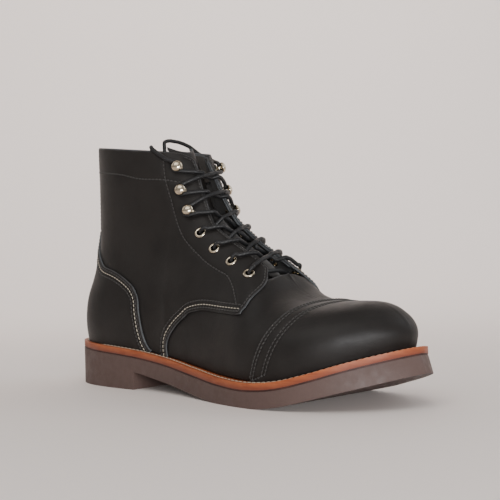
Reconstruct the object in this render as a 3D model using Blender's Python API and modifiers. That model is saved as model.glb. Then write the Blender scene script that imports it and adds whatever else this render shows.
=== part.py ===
"""A lace-up, cap-toe leather boot for the right foot, as an assembly of separate pieces.

The boot stands on z = 0 with its toe towards +x and its lateral (outer) side towards -y. Sizes are in
millimetres, in a working frame whose x = 0 is the back of the heel; `world` centres that frame over the
origin and turns it into metres.

The upper is one smooth form, addressed by (side, t, v, lift): t runs from -1 at the toe's edge, by 0 at the
toe-cap seam, to 1 at the top line; v runs from 0 on the ridge of the foot to 1 at the welt or the back seam;
lift is the height above the form. Every leather piece is a patch of it, between two lifts.
"""

import math

import bmesh
import bpy
import numpy as np
from mathutils import Matrix, Vector

MM = 0.001
GAP = 0.3                  # between pieces that touch
LATERAL, MEDIAL = -1, 1

# ---------------------------------------------------------------- the sole
BOOT_LENGTH = 307.0
SOLE_LATERAL = [(0, 0), (4, 20.2), (16, 31.3), (37, 37.9), (63, 39.6), (93, 39.2), (123, 41.5), (153, 47.2),
                (183, 54.3), (208, 58.6), (231, 58.6), (253.4, 53.6), (273.7, 43.1), (290, 28.3),
                (301.2, 11.3), (306.9, -7.6)]
SOLE_MEDIAL = [(0, 0), (4, 19.5), (16, 30.5), (37, 36.5), (63, 37.5), (93, 35), (123, 34), (153, 38.5),
               (183, 47.5), (205, 54), (225, 57), (243, 57), (260, 54), (275, 48.3), (289, 38.8),
               (300, 26.5), (306.9, 7.6)]
WELT_TOP = [(0, 33.8), (38, 31.9), (75, 29.8), (113, 26), (153, 20.8), (190, 17.2), (215, 16.6),
            (240, 19.2), (260, 24.4), (280, 31), (307, 39.5)]
BREAST_X = 81.0            # front face of the heel
ARCH_BOTTOM = [(81, 13.4), (103, 10), (133, 5.6), (163, 1.3), (182, 0), (222, 0), (243, 3.1), (268, 10),
               (288, 16.1), (307, 22.4)]
OUTLINE_POINTS = 56
SLICE_PLACES = [20, 50, 80.7, 81.3, 100, 120, 140, 160, 182, 202, 222, 238, 254, 270, 286, 298]
WELT_THICKNESS = 4.5
WELT_WIDTH = 11.0
MIDSOLE_THICKNESS = 1.2
INSOLE_INSET = 13.2
INSOLE_THICKNESS = 3.0
FILLER_THICKNESS = 3.4
SHANK_FROM, SHANK_TO, SHANK_WIDTH, SHANK_THICKNESS = 58.0, 158.0, 15.0, 1.5
HEEL_PAD_END, HEEL_PAD_THICKNESS = 92.0, 1.5
HEEL_TAPER = 0.985         # the heel is this much smaller where it meets the ground
TOE_FLARE, TOE_FLARE_FROM_X = 4.5, 235.0    # the tread reaches this far in front of the welt

# ---------------------------------------------------------------- the form of the upper
UPPER_TIP_X = 298.5
TOE_CENTRE_X = 228.0       # the toe dome is rounded about this station
RIDGE_HEIGHT = [(0, 50), (40, 72), (80, 104), (120, 136), (150, 119), (164, 110), (180, 101), (190, 94.5),
                (200, 86), (211, 75.5), (222, 70.5), (233, 68.3), (247, 67.6), (262, 69.4), (276, 71.6),
                (290, 71.8), (307, 69)]
RIDGE_SIDE = [(0, 0), (100, 0), (150, 1), (200, 4), (240, 6), (280, 6), (307, 7)]
WELT_LEDGE = [(0, 3.6), (60, 3.8), (110, 4.5), (150, 5.2), (200, 5.8), (307, 6.6)]
SHAFT_BACK = [(20, 4.6), (34, 4.0), (45, 3.2), (56, 3.4), (69, 5.6), (78, 9), (88, 12), (101, 13.6),
              (115, 15.0), (134, 16), (152, 16.2), (175, 15.8), (200, 16)]
SHAFT_FRONT = [(20, 140), (60, 150), (85, 175), (95, 175), (105, 169), (114, 161), (121, 152), (131, 142.5),
               (140, 136.5), (153, 129.5), (165, 123), (172, 119), (200, 103)]
SHAFT_HALF_WIDTH = [(20, 32.5), (34, 34), (45, 35.5), (58, 35.5), (70, 34.2), (85, 32.2), (100, 31),
                    (118, 31), (135, 31.8), (155, 32.6), (175, 33), (200, 33.2)]
SHAFT_REAR = [(20, 40), (70, 42), (100, 46), (185, 50), (200, 50)]
BLEND = 5.0                # fillet between the foot and the shaft

# Each section plane passes a point above the instep, (t, x, z), and one on the welt or the back seam.
UPPER_GUIDE = [(0.0, 233, 72), (0.12, 221, 80), (0.3, 196, 98), (0.5, 165, 118), (0.7, 143, 138),
               (0.85, 131, 156), (1.0, 121, 173.5), (1.15, 116, 188)]
FEATHER_GUIDE = [(0.0, 213), (0.12, 193), (0.3, 150), (0.45, 95), (0.56, 40), (0.605, 16), (0.64, 3.6)]
BACK_GUIDE = [(0.64, 33.8), (0.74, 70), (0.87, 125), (1.0, 184.5), (1.15, 199)]
HEEL_T = 0.64              # the section through the back of the heel
ABOVE_HEEL = 0.0035        # a step of t that clears the welt there
GRID_COLUMNS = 61
TOE_ROWS = 20
BODY_TS = np.linspace(0, 1.12, 57)

# ---------------------------------------------------------------- leather: outer lift and thickness
CAP_LIFT, CAP_LEATHER = 0.0, 1.6
QUARTER_LIFT, QUARTER_LEATHER = 0.0, 1.6
OVERLAY_LIFT, OVERLAY_LEATHER = 3.1, 1.5
VAMP_LIFT, VAMP_LEATHER = -2.7, 1.5
PUFF_LIFT = -2.9
FACING_LIFT, FACING_LEATHER = -2.5, 1.2
STIFFENER_LIFT, STIFFENER_THICKNESS = -3.4, 1.5
LINING_LIFT, LINING_THICKNESS = -5.8, 1.0
TONGUE_LIFT, TONGUE_LEATHER = -11.4, 2.6
FEATHER_CLEARANCE = 1.2    # the leather's edge above the welt, along the surface
BACK_SEAM_CLEARANCE = 2.4

# Seams, as (t, v) or (v, t) points on the form.
CAP_EDGE_T = -0.035
CAP_TO_V, PUFF_TO_V, LINING_TO_V = 0.985, 0.95, 0.93    # how far down the sides of the toe pieces reach
VAMP_FRONT_T = -0.16
FLAP_EDGE = [(0.2, 0.125), (0.29, 0.125), (0.35, 0.115), (0.41, 0.113), (0.52, 0.1), (0.59, 0.087),
             (0.68, 0.062), (0.83, 0.06), (0.93, 0.052), (0.97, 0.062), (1.0, 0.12)]
# the quarter's front edge: share of the way from the flap's edge to the welt, then t
QUARTER_FRONT = [(0, 0.285), (0.1, 0.235), (0.33, 0.202), (0.44, 0.197), (0.49, 0.21), (0.515, 0.27),
                 (0.545, 0.345), (0.585, 0.385), (0.67, 0.408), (0.78, 0.42), (0.89, 0.418), (1, 0.4)]
QUARTER_SHARES = [0, 0.07, 0.14, 0.21, 0.29, 0.37, 0.44, 0.49, 0.525, 0.56, 0.61, 0.67, 0.73, 0.79, 0.85,
                  0.9, 0.95, 1]
# rows up the quarter, closer together round the back of the heel
QUARTER_HEIGHTS = [0, 0.07, 0.14, 0.21, 0.27, 0.33, 0.37, 0.4, 0.45, 0.52, 0.6, 0.7, 0.8, 0.9, 1]
VAMP_REAR = [(0, 0.252), (0.08, 0.25), (0.15, 0.243), (0.3, 0.253), (0.42, 0.27), (0.5, 0.3), (0.57, 0.36),
             (0.62, 0.43), (0.7, 0.465), (0.85, 0.475), (1, 0.45)]
FACING_BACK = [(0.3, 0.41), (0.35, 0.37), (0.41, 0.355), (0.45, 0.345), (0.52, 0.31), (0.61, 0.245),
               (0.71, 0.225), (0.8, 0.25), (0.89, 0.26), (1.0, 0.25)]
FACING_FROM_T, FACING_TO_T = 0.3, 0.985
BAND_FROM = [(0.28, 0.885), (0.4, 0.905), (0.5, 0.92), (0.7, 0.935), (1, 0.945)]
BAND_TO_T = 0.99
COUNTER_EDGE = [(0.45, 0.985), (0.47, 0.938), (0.5, 0.838), (0.53, 0.738), (0.56, 0.65), (0.61, 0.562),
                (0.66, 0.525), (0.71, 0.6), (0.75, 0.7), (0.79, 0.79), (0.82, 0.86), (0.85, 0.892)]
STIFFENER_EDGE = [(0.545, 0.9), (0.57, 0.82), (0.6, 0.76), (0.64, 0.72), (0.7, 0.75), (0.75, 0.82),
                  (0.79, 0.96)]
BACKSTAY_HALF_WIDTH = 15.5
BACKSTAY_FROM_T, BACKSTAY_TO_T = 0.855, 0.995
LINING_FRONT_T = -0.93
LINING_REAR = [(0, 0.2), (0.2, 0.21), (0.45, 0.28), (0.6, 0.42), (0.8, 0.5), (1, 0.5)]
PUFF_FRONT_T, PUFF_REAR_T = -0.95, -0.2
TONGUE_FROM_T, TONGUE_TO_T = 0.235, 1.08
TONGUE_HALF_WIDTH = [(0.2, 19), (0.4, 23), (0.7, 25), (1.1, 24)]

# ---------------------------------------------------------------- eyelets, hooks and lace
ROWS = [(0.300, 0.263), (0.395, 0.238), (0.484, 0.212), (0.583, 0.166), (0.707, 0.140), (0.817, 0.163),
        (0.921, 0.160)]    # (t, v) of the seven lacing rows
EYELET_ROWS = 4
EYELET_BORE, EYELET_BARREL, EYELET_FLANGE, EYELET_ROLL = 2.5, 3.1, 4.25, 4.0
HOOK_STEM, HOOK_BASE, HOOK_CAP, HOOK_WASHER = 1.5, 3.5, 4.2, 3.2
HOOK_CAP_FROM = 4.9
FASTENER_STEPS = 10
HOLE_CLEARANCE = 0.35
INNER_CLEARANCE = 0.8      # the facing is hollow towards the eyelets' inner rims
FACING_INNER = FACING_LIFT - FACING_LEATHER
LACE_RADIUS = 1.5
LACE_STEP, LACE_TURN = 9.0, 45.0    # the most mm and degrees between the lace's points
LACE_IN_BORE = 0.8         # the lace is squeezed to this share of its size in an eyelet
AGLET_LENGTH, AGLET_RADIUS = 22.0, 1.7

HINGE_X, HINGE_Z = 199.0, 72.0   # the tongue's sewn root


# ================================================================ curves and the form
def curve_through(points, at):
    """A smooth curve through (place, value) points, read at some places."""
    xs = np.array([p[0] for p in points], float)
    ys = np.array([p[1] for p in points], float)
    step = np.diff(xs)
    rise = np.diff(ys) / step
    inner = (rise[:-1] * step[1:] + rise[1:] * step[:-1]) / (step[1:] + step[:-1])
    slope = np.concatenate([rise[:1], inner, rise[-1:]])
    at = np.clip(np.asarray(at, float), xs[0], xs[-1])
    i = np.clip(np.searchsorted(xs, at) - 1, 0, len(xs) - 2)
    h = step[i]
    u = (at - xs[i]) / h
    return ((1 + 2 * u) * (1 - u) ** 2 * ys[i] + u * (1 - u) ** 2 * h * slope[i]
            + u * u * (3 - 2 * u) * ys[i + 1] + u * u * (u - 1) * h * slope[i + 1])


def round_place(x):
    """Places along the boot as angles, which makes the outline's ends come out round."""
    return np.arccos(np.clip(1 - 2 * np.asarray(x, float) / BOOT_LENGTH, -1, 1))


def half_width(outline, x):
    points = [(float(round_place(px)), py) for px, py in outline]
    return curve_through(points, round_place(x))


def foot_field(p):
    """Roughly the distance in mm outside the foot part of the upper, negative inside."""
    x, y, z = p[..., 0], p[..., 1], p[..., 2]
    low = curve_through(WELT_TOP, x)
    high = curve_through(RIDGE_HEIGHT, x)
    rise = np.clip((z - low) / (high - low), 0, None)
    rise_in = np.clip(rise, 0, 1)
    toe = np.clip((x - 170) / 70, 0, 1)
    toe = toe * toe * (3 - 2 * toe)
    squareness = 2.1 + 1.9 * toe
    narrowing = (1 - rise_in ** squareness) ** (1 / (2.15 + 0.5 * toe))
    bulge = 1 + 0.045 * np.sin(np.pi * np.clip(rise_in / 0.75, 0, 1))
    toe_scale = np.maximum(narrowing * (1 + 0.035 * np.sin(np.pi * np.clip(rise_in / 0.7, 0, 1))), 1e-3)
    ahead = np.maximum(x - TOE_CENTRE_X, 0) / toe_scale
    stretch = (BOOT_LENGTH - TOE_CENTRE_X) / (UPPER_TIP_X - TOE_CENTRE_X)
    place = np.where(x > TOE_CENTRE_X, TOE_CENTRE_X + ahead * stretch, x)
    over = np.maximum(place - BOOT_LENGTH, 0)
    place = np.clip(place, 0, BOOT_LENGTH)
    centre = curve_through(RIDGE_SIDE, x)
    ledge = curve_through(WELT_LEDGE, x) * np.sqrt(np.clip((BOOT_LENGTH - place) / 25, 0, 1))
    lateral = half_width(SOLE_LATERAL, place) - ledge + centre
    medial = half_width(SOLE_MEDIAL, place) - ledge - centre
    width = np.where(y < centre, lateral, medial) - 18 * np.clip((115 - x) / 85, 0, 1)
    above = np.maximum(rise - 1, 0) * (high - low)
    behind = 0.4 * np.maximum(50 - x, 0)
    return np.abs(y - centre) - width * narrowing * bulge + 3 * over + above + behind


def shaft_field(p):
    """Roughly the distance in mm outside the shaft and heel, negative inside."""
    x, y, z = p[..., 0], p[..., 1], p[..., 2]
    back = curve_through(SHAFT_BACK, z)
    front = curve_through(SHAFT_FRONT, z)
    half = curve_through(SHAFT_HALF_WIDTH, z)
    middle = back + curve_through(SHAFT_REAR, z)
    reach = np.where(x < middle, middle - back, front - middle)
    power = np.where(x < middle, 2.15, 2.2)
    radius = ((np.abs(x - middle) / reach) ** power + (np.abs(y) / half) ** power) ** (1 / power)
    return (radius - 1) * half


def upper_field(p):
    shaft = shaft_field(p)
    foot = foot_field(p)
    least = np.minimum(shaft, foot)
    return least - BLEND * np.log(np.exp((least - shaft) / BLEND) + np.exp((least - foot) / BLEND))


def cast(start, direction):
    """Where rays from inside the upper leave it."""
    steps = np.linspace(0, 260, 66)[1:]
    outside = upper_field(start[..., None, :] + direction[..., None, :] * steps[:, None]) > 0
    far = steps[np.argmax(outside, axis=-1)]
    near = far - steps[0]
    for _ in range(22):
        middle = (near + far) / 2
        out = upper_field(start + direction * middle[..., None]) > 0
        far = np.where(out, middle, far)
        near = np.where(out, near, middle)
    return start + direction * far[..., None]


def run_of(points):
    """The distance along a polyline at each of its points."""
    return np.concatenate([[0], np.cumsum(np.linalg.norm(np.diff(points, axis=0), axis=1))])


def evenly(points, count):
    """A polyline resampled to points an equal distance apart."""
    run = run_of(points)
    at = np.linspace(0, run[-1], count)
    return np.stack([np.interp(at, run, points[:, c]) for c in range(3)], axis=1)


def body_section(t, side):
    """One section of the upper from its ridge down to the welt, or round to the back seam."""
    above = np.array([float(curve_through([(g[0], g[i]) for g in UPPER_GUIDE], t)) for i in (1, 2)])
    if t < HEEL_T:
        x = float(curve_through(FEATHER_GUIDE, t))
        below = np.array([x, float(curve_through(WELT_TOP, x))])
    else:
        z = float(curve_through(BACK_GUIDE, t))
        below = np.array([float(curve_through(SHAFT_BACK, z)), z])
    middle = below + (above - below) * 0.45
    up = np.array([above[0] - middle[0], 0, above[1] - middle[1]])
    up /= np.linalg.norm(up)
    start = np.array([middle[0], float(curve_through(RIDGE_SIDE, middle[0])), middle[1]])
    turn = np.linspace(0, math.pi, 110)[:, None]
    direction = np.cos(turn) * up + np.sin(turn) * np.array([0, side, 0])
    points = cast(np.broadcast_to(start, direction.shape), direction)
    clear = points[:, 2] - curve_through(WELT_TOP, points[:, 0])
    under = np.nonzero(clear < 0)[0]
    if len(under):
        i = under[0]
        share = clear[i - 1] / (clear[i - 1] - clear[i])
        points = np.vstack([points[:i], points[i - 1] + (points[i] - points[i - 1]) * share])
    return evenly(points, GRID_COLUMNS)


def toe_edge(side):
    """The bottom edge of the toe, from its tip to its widest part."""
    turn = np.linspace(0, math.pi / 2, 90)
    start = np.zeros((len(turn), 3))
    start[:, 0] = TOE_CENTRE_X
    start[:, 1] = curve_through(RIDGE_SIDE, TOE_CENTRE_X)
    direction = np.stack([np.cos(turn), side * np.sin(turn), 0 * turn], axis=1)
    level = np.full(len(turn), 30.0)
    for _ in range(6):
        start[:, 2] = level
        points = cast(start, direction)
        level = curve_through(WELT_TOP, points[:, 0])
    return points


def unit(vectors):
    return vectors / np.linalg.norm(vectors, axis=-1, keepdims=True)


def form_rows(side):
    """The upper's outer face as rows of points, from the toe's edge back and up past the top line."""
    body = np.array([body_section(t, side) for t in BODY_TS])
    seam = body[0]
    edge = evenly(np.vstack([toe_edge(side), seam[-1:]]), GRID_COLUMNS)
    centre = np.array([TOE_CENTRE_X + 6, float(curve_through(RIDGE_SIDE, TOE_CENTRE_X)), 27.0])
    rows = [edge]
    for share in np.linspace(1, 0, TOE_ROWS + 1)[1:-1]:
        aim = unit((1 - share) * unit(seam - centre) + share * unit(edge - centre))
        row = cast(np.broadcast_to(centre, aim.shape), aim)
        row[-1] = seam[-1]
        rows.append(row)
    return np.concatenate([np.array(rows), body])


FORM_TS = np.concatenate([np.linspace(-1, 0, TOE_ROWS + 1)[:-1], BODY_TS])
FORM = {side: form_rows(side) for side in (LATERAL, MEDIAL)}
SECTION_LENGTH = np.linalg.norm(np.diff(FORM[LATERAL], axis=1), axis=2).sum(axis=1)


def section_length(t):
    """The length in mm of a section, from ridge to welt or back seam."""
    return np.interp(t, FORM_TS, SECTION_LENGTH)


def seam_v(seam, t):
    """A seam given as (t, v), read in mm down the sections so that it stays smooth as their length changes."""
    in_mm = [(place, v * float(section_length(place))) for place, v in seam]
    return curve_through(in_mm, t) / section_length(t)


def out_of(points):
    """The outward direction of the form at points on it."""
    shift = 0.4 * np.eye(3)
    slope = [upper_field(points + shift[c]) - upper_field(points - shift[c]) for c in range(3)]
    return unit(np.stack(slope, axis=-1))


def on_upper(side, t, v, lift=0.0):
    """Points at (t, v) on one side of the form, raised by lift mm."""
    t, v, lift = np.broadcast_arrays(np.asarray(t, float), np.asarray(v, float), np.asarray(lift, float))
    rows = FORM[side]
    i = np.clip(np.searchsorted(FORM_TS, t) - 1, 0, len(FORM_TS) - 2)
    a = ((t - FORM_TS[i]) / (FORM_TS[i + 1] - FORM_TS[i]))[..., None]
    place = np.clip(v, 0, 1) * (GRID_COLUMNS - 1)
    j = np.clip(place.astype(int), 0, GRID_COLUMNS - 2)
    b = (place - j)[..., None]
    points = ((1 - a) * ((1 - b) * rows[i, j] + b * rows[i, j + 1])
              + a * ((1 - b) * rows[i + 1, j] + b * rows[i + 1, j + 1]))
    return points + out_of(points) * lift[..., None]


# ================================================================ building pieces
def sole_outline(inset=0.0, end=BOOT_LENGTH):
    """The sole's plan outline, counter-clockwise, moved inwards, and cut off square at x = end."""
    first, last = round_place(0.01), round_place(BOOT_LENGTH - 0.05)
    place = np.linspace(first, last, OUTLINE_POINTS // 2 + 1)
    x = BOOT_LENGTH * (1 - np.cos(place)) / 2
    lateral = np.stack([x, -half_width(SOLE_LATERAL, x)], axis=1)
    medial = np.stack([x, half_width(SOLE_MEDIAL, x)], axis=1)
    loop = np.vstack([lateral, medial[-2:0:-1]])
    ahead = np.roll(loop, -1, axis=0) - np.roll(loop, 1, axis=0)
    inward = unit(np.stack([-ahead[:, 1], ahead[:, 0]], axis=1))
    loop = loop + inward * inset
    if end < BOOT_LENGTH:
        lateral, medial = loop[:len(x)], loop[len(x):]
        corners = [(end, np.interp(end, lateral[:, 0], lateral[:, 1])),
                   (end, np.interp(end, medial[::-1, 0], medial[::-1, 1]))]
        loop = np.vstack([lateral[lateral[:, 0] < end], corners, medial[medial[:, 0] < end]])
    return loop


def toe_share(x):
    """How much of the tread's flare a place along the boot takes."""
    return max(x - TOE_FLARE_FROM_X, 0) ** 2 / (BOOT_LENGTH - TOE_FLARE_FROM_X) ** 2


SOLE_BOX = np.array([sole_outline().min(axis=0), sole_outline().max(axis=0) + [TOE_FLARE, 0]])
CENTRE = np.append(SOLE_BOX.mean(axis=0), 0.0)


def world(points):
    """Points of the working frame, in metres over the origin."""
    return (np.asarray(points, float) - CENTRE) * MM


def clear_scene():
    for item in list(bpy.data.objects):
        bpy.data.objects.remove(item, do_unlink=True)


def collection(name):
    made = bpy.data.collections.new(name)
    bpy.context.scene.collection.children.link(made)
    return made


clear_scene()
PARTS = collection("leather_boot")
CUTTERS = collection("cutters")


def material(name, colour, roughness, metallic=0.0):
    made = bpy.data.materials.new(name)
    made.use_nodes = True
    shader = made.node_tree.nodes["Principled BSDF"]
    shader.inputs["Base Color"].default_value = (*colour, 1)
    shader.inputs["Roughness"].default_value = roughness
    shader.inputs["Metallic"].default_value = metallic
    return made


LEATHER = material("black_leather", (0.022, 0.019, 0.018), 0.42)
INNER_LEATHER = material("inner_leather", (0.10, 0.075, 0.06), 0.8)
LINING = material("lining", (0.30, 0.22, 0.15), 0.85)
STIFF_BOARD = material("stiffener_board", (0.32, 0.25, 0.18), 0.8)
WELT_LEATHER = material("welt_leather", (0.40, 0.13, 0.06), 0.55)
DARK_RUBBER = material("dark_rubber", (0.10, 0.03, 0.02), 0.7)
SOLE_RUBBER = material("sole_rubber", (0.14, 0.08, 0.065), 0.62)
CORK = material("cork", (0.36, 0.22, 0.12), 0.9)
STEEL = material("spring_steel", (0.45, 0.45, 0.47), 0.35, 1.0)
NICKEL = material("nickel", (0.72, 0.70, 0.66), 0.22, 1.0)
LACE_CORD = material("waxed_lace", (0.012, 0.012, 0.013), 0.5)
AGLET_PLASTIC = material("aglet_plastic", (0.02, 0.02, 0.02), 0.3)


def new_object(name, data, look, home=PARTS):
    made = bpy.data.objects.new(name, data)
    made.data.materials.append(look)
    home.objects.link(made)
    return made


def object_of(name, bm, look):
    mesh = bpy.data.meshes.new(name)
    bm.to_mesh(mesh)
    bm.free()
    return new_object(name, mesh, look)


def slab(name, outline, bottom, top, look, hole=None, heel_taper=1.0, toe_flare=0.0):
    """A flat layer of the sole: an outline, or the ring between two, bent to follow the sole's curves."""
    bm = bmesh.new()
    rim = [bm.verts.new((x, y, 0)) for x, y in outline]
    if hole is None:
        bm.faces.new(rim)
    else:
        inner = [bm.verts.new((x, y, 0)) for x, y in hole]
        for k in range(len(rim)):
            following = (k + 1) % len(rim)
            bm.faces.new((rim[k], rim[following], inner[following], inner[k]))
    for x in SLICE_PLACES:
        everything = bm.verts[:] + bm.edges[:] + bm.faces[:]
        bmesh.ops.bisect_plane(bm, geom=everything, plane_co=(x, 0, 0), plane_no=(1, 0, 0), dist=1e-4)
    lower = set(bm.verts)
    bmesh.ops.extrude_face_region(bm, geom=bm.faces[:], use_keep_orig=True)
    heel_middle = BREAST_X / 2
    for vert in bm.verts:
        x, y = vert.co.x, vert.co.y
        level = top(x)
        if vert in lower:
            level = bottom(x)
            if x < BREAST_X:
                y *= heel_taper
            if x < BREAST_X - 1:
                x = heel_middle + (x - heel_middle) * heel_taper
            x += toe_flare * toe_share(x)
        vert.co = Vector(world((x, y, level)))
    bmesh.ops.recalc_face_normals(bm, faces=bm.faces[:])
    return object_of(name, bm, look)


def sheet(name, patches, lift, thickness, look):
    """A leather piece: patches of the form, joined where they meet, and thickened inwards."""
    bm = bmesh.new()
    for side, t, v in patches:
        t, v = np.broadcast_arrays(t, v)
        points = on_upper(side, t, v, lift)
        grid = [[bm.verts.new(p) for p in row] for row in world(points)]
        i, j = len(grid) // 2, len(grid[0]) // 2
        along = points[i, j] - points[i - 1, j]
        across = points[i, j] - points[i, j - 1]
        outward = np.dot(np.cross(along, across), out_of(points[i, j])) > 0
        for a in range(len(grid) - 1):
            for b in range(len(grid[0]) - 1):
                corners = [grid[a][b], grid[a + 1][b], grid[a + 1][b + 1], grid[a][b + 1]]
                bm.faces.new(corners if outward else corners[::-1])
    bmesh.ops.remove_doubles(bm, verts=bm.verts[:], dist=2e-5)
    made = object_of(name, bm, look)
    solid = made.modifiers.new("leather", "SOLIDIFY")
    solid.thickness = thickness * MM
    solid.offset = -1
    return made


def lowest_v(t, seam_clearance=FEATHER_CLEARANCE):
    """How far down a section a piece reaches, so that it stays clear of the welt or the back seam."""
    clearance = np.where(np.asarray(t) < HEEL_T - 0.03, FEATHER_CLEARANCE, seam_clearance)
    return 1 - clearance / section_length(t)


def turned(name, profile, look, steps=FASTENER_STEPS):
    """A turned piece about local z: (radius, height) points, down its outer side and up its inner side."""
    mesh = bpy.data.meshes.new(name)
    points = [(r * MM, 0, z * MM) for r, z in profile]
    closed = profile[0][0] > 0
    count = len(points)
    edges = [(k, k + 1) for k in range(count - 1)]
    if closed:
        edges.append((count - 1, 0))
    mesh.from_pydata(points, edges, [])
    made = new_object(name, mesh, look)
    screw = made.modifiers.new("turn", "SCREW")
    screw.steps = steps
    screw.render_steps = steps
    screw.use_merge_vertices = True
    screw.merge_threshold = 1e-5
    return made


def set_on_upper(made, side, t, v):
    """Places a turned piece with its axis along the leather's outward direction."""
    point = on_upper(side, t, v)
    turn = Vector(out_of(point)).to_track_quat("Z", "Y").to_matrix().to_4x4()
    made.matrix_world = Matrix.Translation(Vector(world(point))) @ turn
    return made


# ================================================================ bottom unit
def build_sole():
    def welt_top(x):
        return float(curve_through(WELT_TOP, x))

    def under_welt(x):
        return welt_top(x) - WELT_THICKNESS

    def ground_side(x):
        return 0.0 if x < BREAST_X else max(0.0, float(curve_through(ARCH_BOTTOM, x)))

    midsole_top = GAP
    midsole_bottom = midsole_top + MIDSOLE_THICKNESS
    sole_top = midsole_bottom + GAP
    slab("outsole_unit", sole_outline(), ground_side, lambda x: under_welt(x) - sole_top, SOLE_RUBBER,
         heel_taper=HEEL_TAPER, toe_flare=TOE_FLARE)
    slab("midsole", sole_outline(0.4), lambda x: under_welt(x) - midsole_bottom,
         lambda x: under_welt(x) - midsole_top, DARK_RUBBER)
    slab("welt", sole_outline(), under_welt, welt_top, WELT_LEATHER, hole=sole_outline(WELT_WIDTH))
    filler = slab("cork_filler", sole_outline(WELT_WIDTH + GAP), under_welt,
                  lambda x: under_welt(x) + FILLER_THICKNESS, CORK)
    insole_bottom = FILLER_THICKNESS + GAP
    insole_top = insole_bottom + INSOLE_THICKNESS
    slab("insole", sole_outline(INSOLE_INSET), lambda x: under_welt(x) + insole_bottom,
         lambda x: under_welt(x) + insole_top, INNER_LEATHER)
    pad_bottom = insole_top + GAP
    slab("heel_pad", sole_outline(INSOLE_INSET + 1, end=HEEL_PAD_END), lambda x: under_welt(x) + pad_bottom,
         lambda x: under_welt(x) + pad_bottom + HEEL_PAD_THICKNESS, LINING)
    strip = [(SHANK_FROM, -1), (SHANK_TO, -1), (SHANK_TO, 1), (SHANK_FROM, 1)]
    shank_bottom = FILLER_THICKNESS - SHANK_THICKNESS

    def strip_outline(margin):
        return [(x + math.copysign(margin, x - 100), side * (SHANK_WIDTH / 2 + margin)) for x, side in strip]

    slab("shank", strip_outline(0), lambda x: under_welt(x) + shank_bottom,
         lambda x: under_welt(x) + FILLER_THICKNESS, STEEL)
    pocket = slab("shank_pocket", strip_outline(GAP), lambda x: under_welt(x) + shank_bottom - GAP,
                  lambda x: under_welt(x) + FILLER_THICKNESS + 1, CORK)
    cut(filler, as_cutter(pocket))


def as_cutter(made):
    PARTS.objects.unlink(made)
    CUTTERS.objects.link(made)
    made.hide_render = True
    made.display_type = "WIRE"
    return made


def cut(made, cutter):
    boolean = made.modifiers.new("cut", "BOOLEAN")
    boolean.operation = "DIFFERENCE"
    boolean.object = cutter


# ================================================================ upper
def both_sides(t, v):
    return [(side, t, v) for side in (LATERAL, MEDIAL)]


def column(values):
    return np.asarray(values, float)[:, None]


def row(values):
    return np.asarray(values, float)[None, :]


def build_forefoot():
    sections = np.linspace(0, 1, 14)
    cap_t = column(np.linspace(-1, CAP_EDGE_T, 10))
    cap_t[0] = -CAP_TO_V
    sheet("toe_cap", both_sides(cap_t, row(sections * CAP_TO_V)), CAP_LIFT, CAP_LEATHER, LEATHER)
    puff_t = column(np.linspace(PUFF_FRONT_T, PUFF_REAR_T, 7))
    puff_v = row(np.linspace(0, PUFF_TO_V, 12))
    sheet("toe_puff", both_sides(puff_t, puff_v), PUFF_LIFT, STIFFENER_THICKNESS, STIFF_BOARD)

    shares = column(np.linspace(0, 1, 10))
    vamp_v = row(np.linspace(0, 1, 15))
    rear = curve_through(VAMP_REAR, vamp_v)
    t = VAMP_FRONT_T + (rear - VAMP_FRONT_T) * shares
    v = vamp_v * np.where(t < 0, CAP_TO_V, lowest_v(t))
    sheet("vamp", both_sides(t, v), VAMP_LIFT, VAMP_LEATHER, LEATHER)

    shares = column(np.linspace(0, 1, 12))
    vamp_v = row(np.linspace(0, 1, 11))
    rear = curve_through(LINING_REAR, vamp_v)
    t = LINING_FRONT_T + (rear - LINING_FRONT_T) * shares
    v = vamp_v * np.where(t < 0.04, LINING_TO_V, LINING_TO_V + 0.03)
    sheet("vamp_lining", both_sides(t, v), LINING_LIFT, LINING_THICKNESS, LINING)


def quarter_patch(side):
    shares = row(QUARTER_SHARES)
    front = curve_through(QUARTER_FRONT, shares)
    t = front + (BAND_TO_T + 0.01 - front) * column(QUARTER_HEIGHTS)
    edge = seam_v(FLAP_EDGE, t)
    return side, t, edge + (lowest_v(t, BACK_SEAM_CLEARANCE) - edge) * shares


def facing_patch(side):
    t = column(np.linspace(FACING_FROM_T, FACING_TO_T, 15))
    edge = seam_v(FLAP_EDGE, t) + 0.003
    back = seam_v(FACING_BACK, t)
    return side, t, edge + (back - edge) * row(np.linspace(0, 1, 5))


def build_quarters():
    for side, word in ((LATERAL, "lateral"), (MEDIAL, "medial")):
        quarter = quarter_patch(side)
        made = sheet("quarter_" + word, [quarter], QUARTER_LIFT, QUARTER_LEATHER, LEATHER)
        facing = sheet("facing_" + word, [facing_patch(side)], FACING_LIFT, FACING_LEATHER, INNER_LEATHER)
        drill = hole_drill(side, word)
        cut(made, drill)
        cut(facing, drill)
    band_v = row([0.28, 0.36, 0.46, 0.56, 0.66, 0.76, 0.85, 0.93, 1])
    low = curve_through(BAND_FROM, band_v)
    t = low + (BAND_TO_T - low) * column(np.linspace(0, 1, 4))
    sheet("collar_band", both_sides(t, np.broadcast_to(band_v, t.shape)), FACING_LIFT, FACING_LEATHER, LINING)


def hole_drill(side, word):
    """One cutter with a pin through the leather at each lacing row."""
    bm = bmesh.new()
    for index, (t, v) in enumerate(ROWS):
        radius = (EYELET_BARREL if index < EYELET_ROWS else HOOK_STEM) + HOLE_CLEARANCE
        point = on_upper(side, t, v)
        turn = Vector(out_of(point)).to_track_quat("Z", "Y").to_matrix().to_4x4()
        place = Matrix.Translation(Vector(world(point))) @ turn
        bmesh.ops.create_cone(bm, cap_ends=True, segments=FASTENER_STEPS, radius1=radius * MM,
                              radius2=radius * MM, depth=12 * MM, matrix=place)
    return as_cutter(object_of("drill_" + word, bm, STEEL))


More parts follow.
